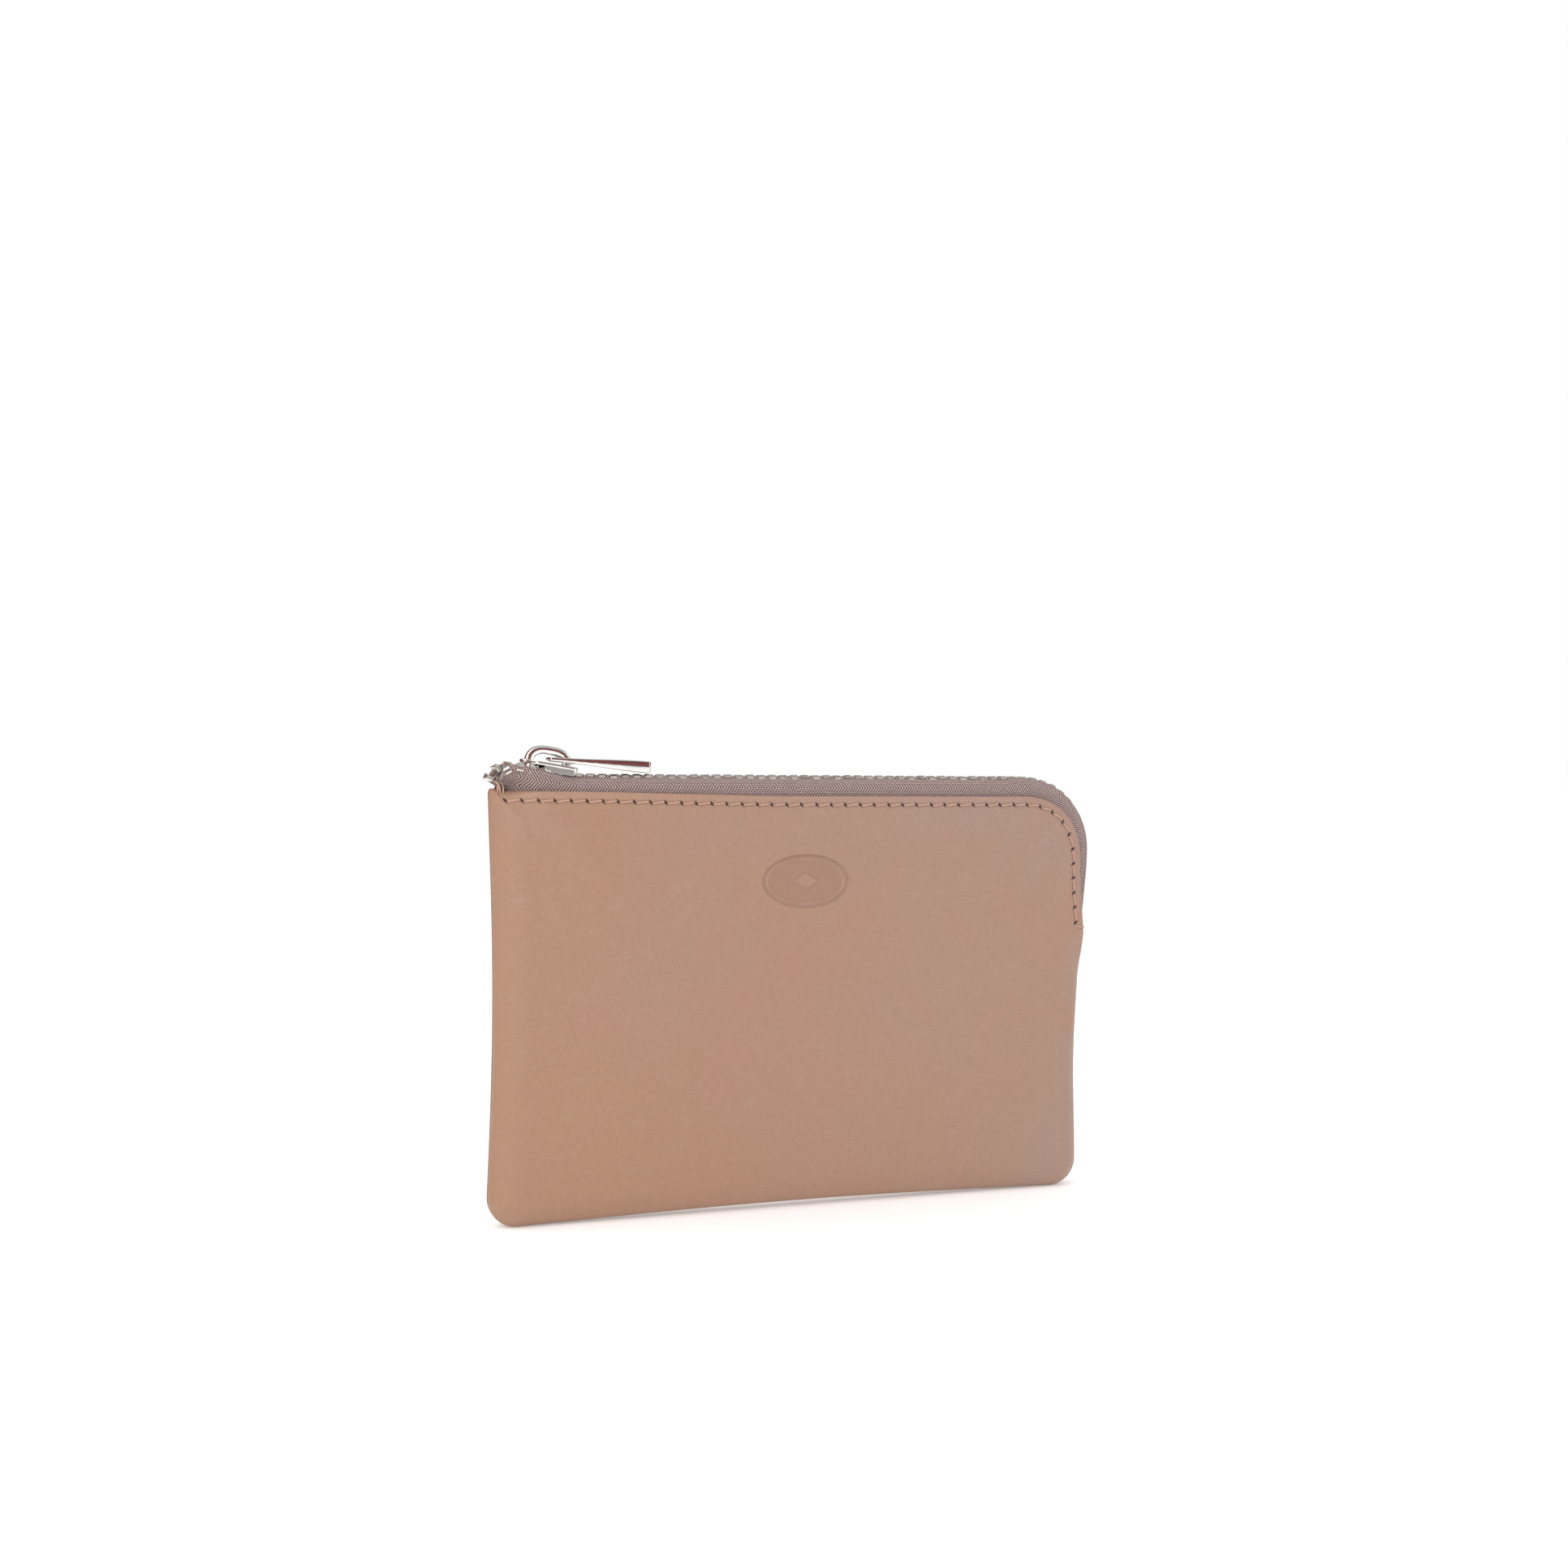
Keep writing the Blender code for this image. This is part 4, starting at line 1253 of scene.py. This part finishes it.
def sliderPlace():
    tilt = zipper["sliderTilt"]
    lift = zipper["slopeEase"] * sin(tilt / 2) + zipper["sliderHalf"] * sin(tilt)
    middle = Vector((zipper["sliderX"] + pouch["middleX"], 0, zipper["chainZ"] + lift))
    return Matrix.Translation(middle) @ Matrix.Rotation(tilt, 4, "Y")


def block(mesh, low, high):
    made = bmesh.ops.create_cube(mesh, size=1)["verts"]
    size = [b - a for a, b in zip(low, high)]
    middle = [(a + b) / 2 for a, b in zip(low, high)]
    bmesh.ops.scale(mesh, vec=size, verts=made)
    bmesh.ops.translate(mesh, vec=middle, verts=made)
    return made


def runsAlong(edge, axis):
    return abs((edge.verts[0].co - edge.verts[1].co).normalized()[axis]) > 0.99


def scratch(name, mesh):
    # a shape that only helps to make another
    bmesh.ops.recalc_face_normals(mesh, faces=mesh.faces)
    return toObject(name, mesh)


def fuse(parts, operation="UNION"):
    # joins or cuts the first part with the others and gives back its mesh
    base = parts[0]
    for other in parts[1:]:
        step = base.modifiers.new(other.name, "BOOLEAN")
        step.operation = operation
        step.solver = "EXACT"
        step.object = other
    bpy.context.view_layer.update()
    depsgraph = bpy.context.evaluated_depsgraph_get()
    data = bpy.data.meshes.new_from_object(base.evaluated_get(depsgraph))
    mesh = bmesh.new()
    mesh.from_mesh(data)
    bpy.data.meshes.remove(data)
    for part in parts:
        bpy.data.objects.remove(part, do_unlink=True)
    return mesh


def sliderPlate(name, halfWidth, low, high, nose):
    mesh = bmesh.new()
    block(mesh, (-slider["half"], -halfWidth, low), (slider["half"], halfWidth, high))
    soften(mesh, [e for e in mesh.edges if runsAlong(e, 2) and e.verts[0].co.x < 0], nose, 12)
    rear = [e for e in mesh.edges if runsAlong(e, 2) and e.verts[0].co.x > slider["half"] - 0.01]
    soften(mesh, rear, slider["rearRound"], 5)
    rim = [e for e in mesh.edges if abs(e.verts[0].co.z - e.verts[1].co.z) < 0.001 and e.calc_face_angle() > 1]
    soften(mesh, rim, slider["soften"], 3)
    return scratch(name, mesh)


def makeBridge():
    # a flattened arch of a bar with soft corners
    steps, sides = 28, 20

    def squarer(value, power):
        return copysign(abs(value) ** power, value)

    def place(column, row):
        turn, square, foot = pi * (1 - row / steps), slider["bridgeSquare"], slider["bridgeFoot"]
        c, s = cos(turn), sin(turn)
        x = slider["bridgeHalf"] * squarer(c, square)
        z = slider["plateTop"] - foot + (slider["bridgeHeight"] + foot) * squarer(s, square)
        heading = atan2(-squarer(c, 2 - square) * slider["bridgeHeight"],
                             squarer(s, 2 - square) * slider["bridgeHalf"] + 1e-6)
        spin = 2 * pi * (column % sides) / sides
        u = squarer(cos(spin), slider["barSquare"]) * slider["bridgeWidth"]
        v = squarer(sin(spin), slider["barSquare"]) * slider["bridgeThick"]
        return Vector((x - v * sin(heading), u, z + v * cos(heading)))

    mesh = bmesh.new()
    layGrid(mesh, sides, steps, place)
    closeUp(mesh)
    return scratch("bridge", mesh)


def makeSlider():
    low, top, width = slider["plateLow"], slider["plateTop"], slider["lowerHalf"]
    parts = [sliderPlate("upperPlate", slider["plateHalf"], low, top, slider["noseRound"]),
             sliderPlate("lowerPlate", width, -top, -low, width - 0.1)]
    mesh = bmesh.new()
    radius, height, postX = slider["post"]
    bmesh.ops.create_cone(mesh, cap_ends=True, segments=20, radius1=radius, radius2=radius, depth=height)
    bmesh.ops.scale(mesh, vec=slider["postScale"], verts=mesh.verts)
    bmesh.ops.translate(mesh, vec=(postX, 0, 0), verts=mesh.verts)
    parts.append(scratch("post", mesh))
    start, end, inside, outside, lowest = slider["flange"]
    for side in (-1, 1):
        mesh = bmesh.new()
        near, far = sorted((side * inside, side * outside))
        block(mesh, (start, near, lowest), (end, far, top - 0.5))
        lower = [e for e in mesh.edges if runsAlong(e, 1) and e.verts[0].co.z < lowest + 0.01]
        soften(mesh, lower, slider["flangeRound"], 5)
        parts.append(scratch("flange", mesh))
    mesh = fuse(parts + [makeBridge()])
    bmesh.ops.scale(mesh, vec=(mm, mm, mm), verts=mesh.verts)
    bmesh.ops.transform(mesh, matrix=sliderPlace(), verts=mesh.verts)
    makePiece("slider", mesh, "slider", "slider_body", "slider", 32)


# the pull tab in its own frame, in millimetres: hinge along Y through the origin, pointing +X
pull = {
    "length": 21.3,
    "bar": 0.42,
    "halfWidth": (2.5, 2.95),
    "halfThick": (0.45, 1.25),
    "eye": (0.42, 5.5, 1.4),  # from, to, half width
    "hinge": (0.4, 3.0),
    "slope": radians(4.2),
    "tipRound": 0.55,
    "barRound": 0.4,
    "eyeRound": 0.5,
    "soften": 0.18,
}


def makePull():
    mesh, cuts = bmesh.new(), 9
    block(mesh, (-pull["bar"], -1, -1), (pull["length"], 1, 1))
    for k in range(1, cuts):
        bmesh.ops.bisect_plane(mesh, geom=mesh.verts[:] + mesh.edges[:] + mesh.faces[:],
                               plane_co=(pull["length"] * k / cuts, 0, 0), plane_no=(1, 0, 0))
    for vert in mesh.verts:
        t = max(vert.co.x, 0) / pull["length"]
        vert.co.y *= mix(*pull["halfWidth"], t)
        vert.co.z *= mix(*pull["halfThick"], smooth(t))
    tip = [e for e in mesh.edges if min(v.co.x for v in e.verts) > pull["length"] - 0.01]
    soften(mesh, tip, pull["tipRound"], 4)
    crosswise = [e for e in mesh.edges if max(v.co.x for v in e.verts) < 0 and not runsAlong(e, 2)]
    soften(mesh, crosswise, pull["barRound"], 4)
    body = scratch("pullBody", mesh)
    start, end, half = pull["eye"]
    mesh = bmesh.new()
    block(mesh, (start, -half, -3), (end, half, 3))
    soften(mesh, [e for e in mesh.edges if runsAlong(e, 2)], pull["eyeRound"], 5)
    mesh = fuse([body, scratch("eye", mesh)], "DIFFERENCE")
    sharp = [e for e in mesh.edges if e.is_manifold and e.calc_face_angle() > radians(50)]
    soften(mesh, sharp, pull["soften"], 3)
    bmesh.ops.scale(mesh, vec=(mm, mm, mm), verts=mesh.verts)
    hinge = Matrix.Translation(Vector((pull["hinge"][0], 0, pull["hinge"][1])) * mm)
    lean = Matrix.Rotation(pull["slope"] - zipper["sliderTilt"], 4, "Y")
    bmesh.ops.transform(mesh, matrix=sliderPlace() @ hinge @ lean, verts=mesh.verts)
    makePiece("pullTab", mesh, "slider", "pull_tab", "pull", 32)


# short stitches in the fold between the panels
seam = {
    "inset": 0.42 * mm,
    "pitch": 3.0 * mm,
    "stitch": 0.76,  # share of the pitch that a stitch takes up
    "radius": 0.13 * mm,
    "start": 12,  # spots of the outline below the zip's end
}


def seamStitches():
    # from the zip's lower end down the right side, along the bottom and up the left side
    line = [Vector((x + pouch["middleX"], 0, z)) for x, z in (settle(*p) for p in outline(seam["inset"]))]
    first, last = zipLast + seam["start"], ringCount + corners[0][5] + len(edgeShares[0])
    spots = [line[index % ringCount] for index in range(first, last)]
    lengths, pitch, share = lengthsOf(spots), seam["pitch"], seam["stitch"]
    paths = [[along(spots, lengths, (k + (1 - share) / 2 + share * i / 6) * pitch)[0] for i in range(7)]
             for k in range(int(lengths[-1] / pitch))]
    threadPiece("seamStitches", "seam_thread", paths, seam["radius"], sides=6, ends=1)


# threads that hold the zip's ends, in millimetres
tacks = {
    "leftX": -68.45,
    "leftLoops": ((0.2, 0.5, 0.0, 0.6), (0.9, 0.8, 0.3, 0.2), (1.4, 1.6, 0.1, 1.3)),  # foot, waist, rise, top
    "leftRadius": 0.18,
    "rightRadius": 0.19,
    "steps": 18,
}


def tack(name, node, loops, radius, level):
    paths = [[Vector(p) * mm for p in through(loop, tacks["steps"])] for loop in loops]
    threadPiece(name, node, paths, radius * mm, level)


def makeTacks():
    # loops of thread over the zip's left end, and one over the edge at its lower right end
    loops = []
    for foot, waist, rise, top in tacks["leftLoops"]:
        foot, waist, top = (tacks["leftX"] + x for x in (foot, waist, top))
        loops.append([(foot, -2.3, 89.6), (waist, -2.0, 91.6 + rise), (top, 0, 92.6 + rise),
                      (waist, 2.0, 91.4), (foot, 2.3, 89.6)])
    tack("leftTack", "left_tack", loops, tacks["leftRadius"], (1, 0, 0))
    loops = []
    for side in (-1, 1):
        start, rim = stitchSpots(side)[1][-1] / mm, faceSpot(side, stitchLast, 0.25 * mm, 0.0) / mm
        loops.append([tuple(spot + Vector((a, side * b, c))) for spot, a, b, c in (
            (start, 0, -0.3, 0), (start.lerp(rim, 0.35), 0, 0.3, 0.1), (rim, -0.1, 0.25, 0),
            (rim, 0.3, -0.5, -0.1), (rim, 0.2, -1.3, -0.1))])
    tack("rightTack", "right_tack", loops, tacks["rightRadius"], (0, 0, 1))


layFloor()
lightStudio()

frontLeather, backLeather = leatherPanel("frontLeather", -1), leatherPanel("backLeather", 1)
print("leather panels made", len(frontLeather.data.polygons), "faces each")
frontLining, backLining = liningSheet("frontLining", -1), liningSheet("backLining", 1)
frontTape, backTape = zipTape("frontTape", -1), zipTape("backTape", 1)
print("lining and tapes made")
frontTeeth, backTeeth = teethRow("frontTeeth", -1), teethRow("backTeeth", 1)
frontStitches, backStitches = stitchRow("frontStitches", -1), stitchRow("backStitches", 1)
seamStitches()
makeTacks()
print("teeth and threads made")
makeSlider()
makePull()
print("slider and pull made")

for piece in (frontLeather, frontLining, frontTape, frontTeeth, frontStitches):
    moveWithMouth(piece)
for piece in (backLeather, backLining, backTape, backTeeth, backStitches):
    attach(piece, "back")
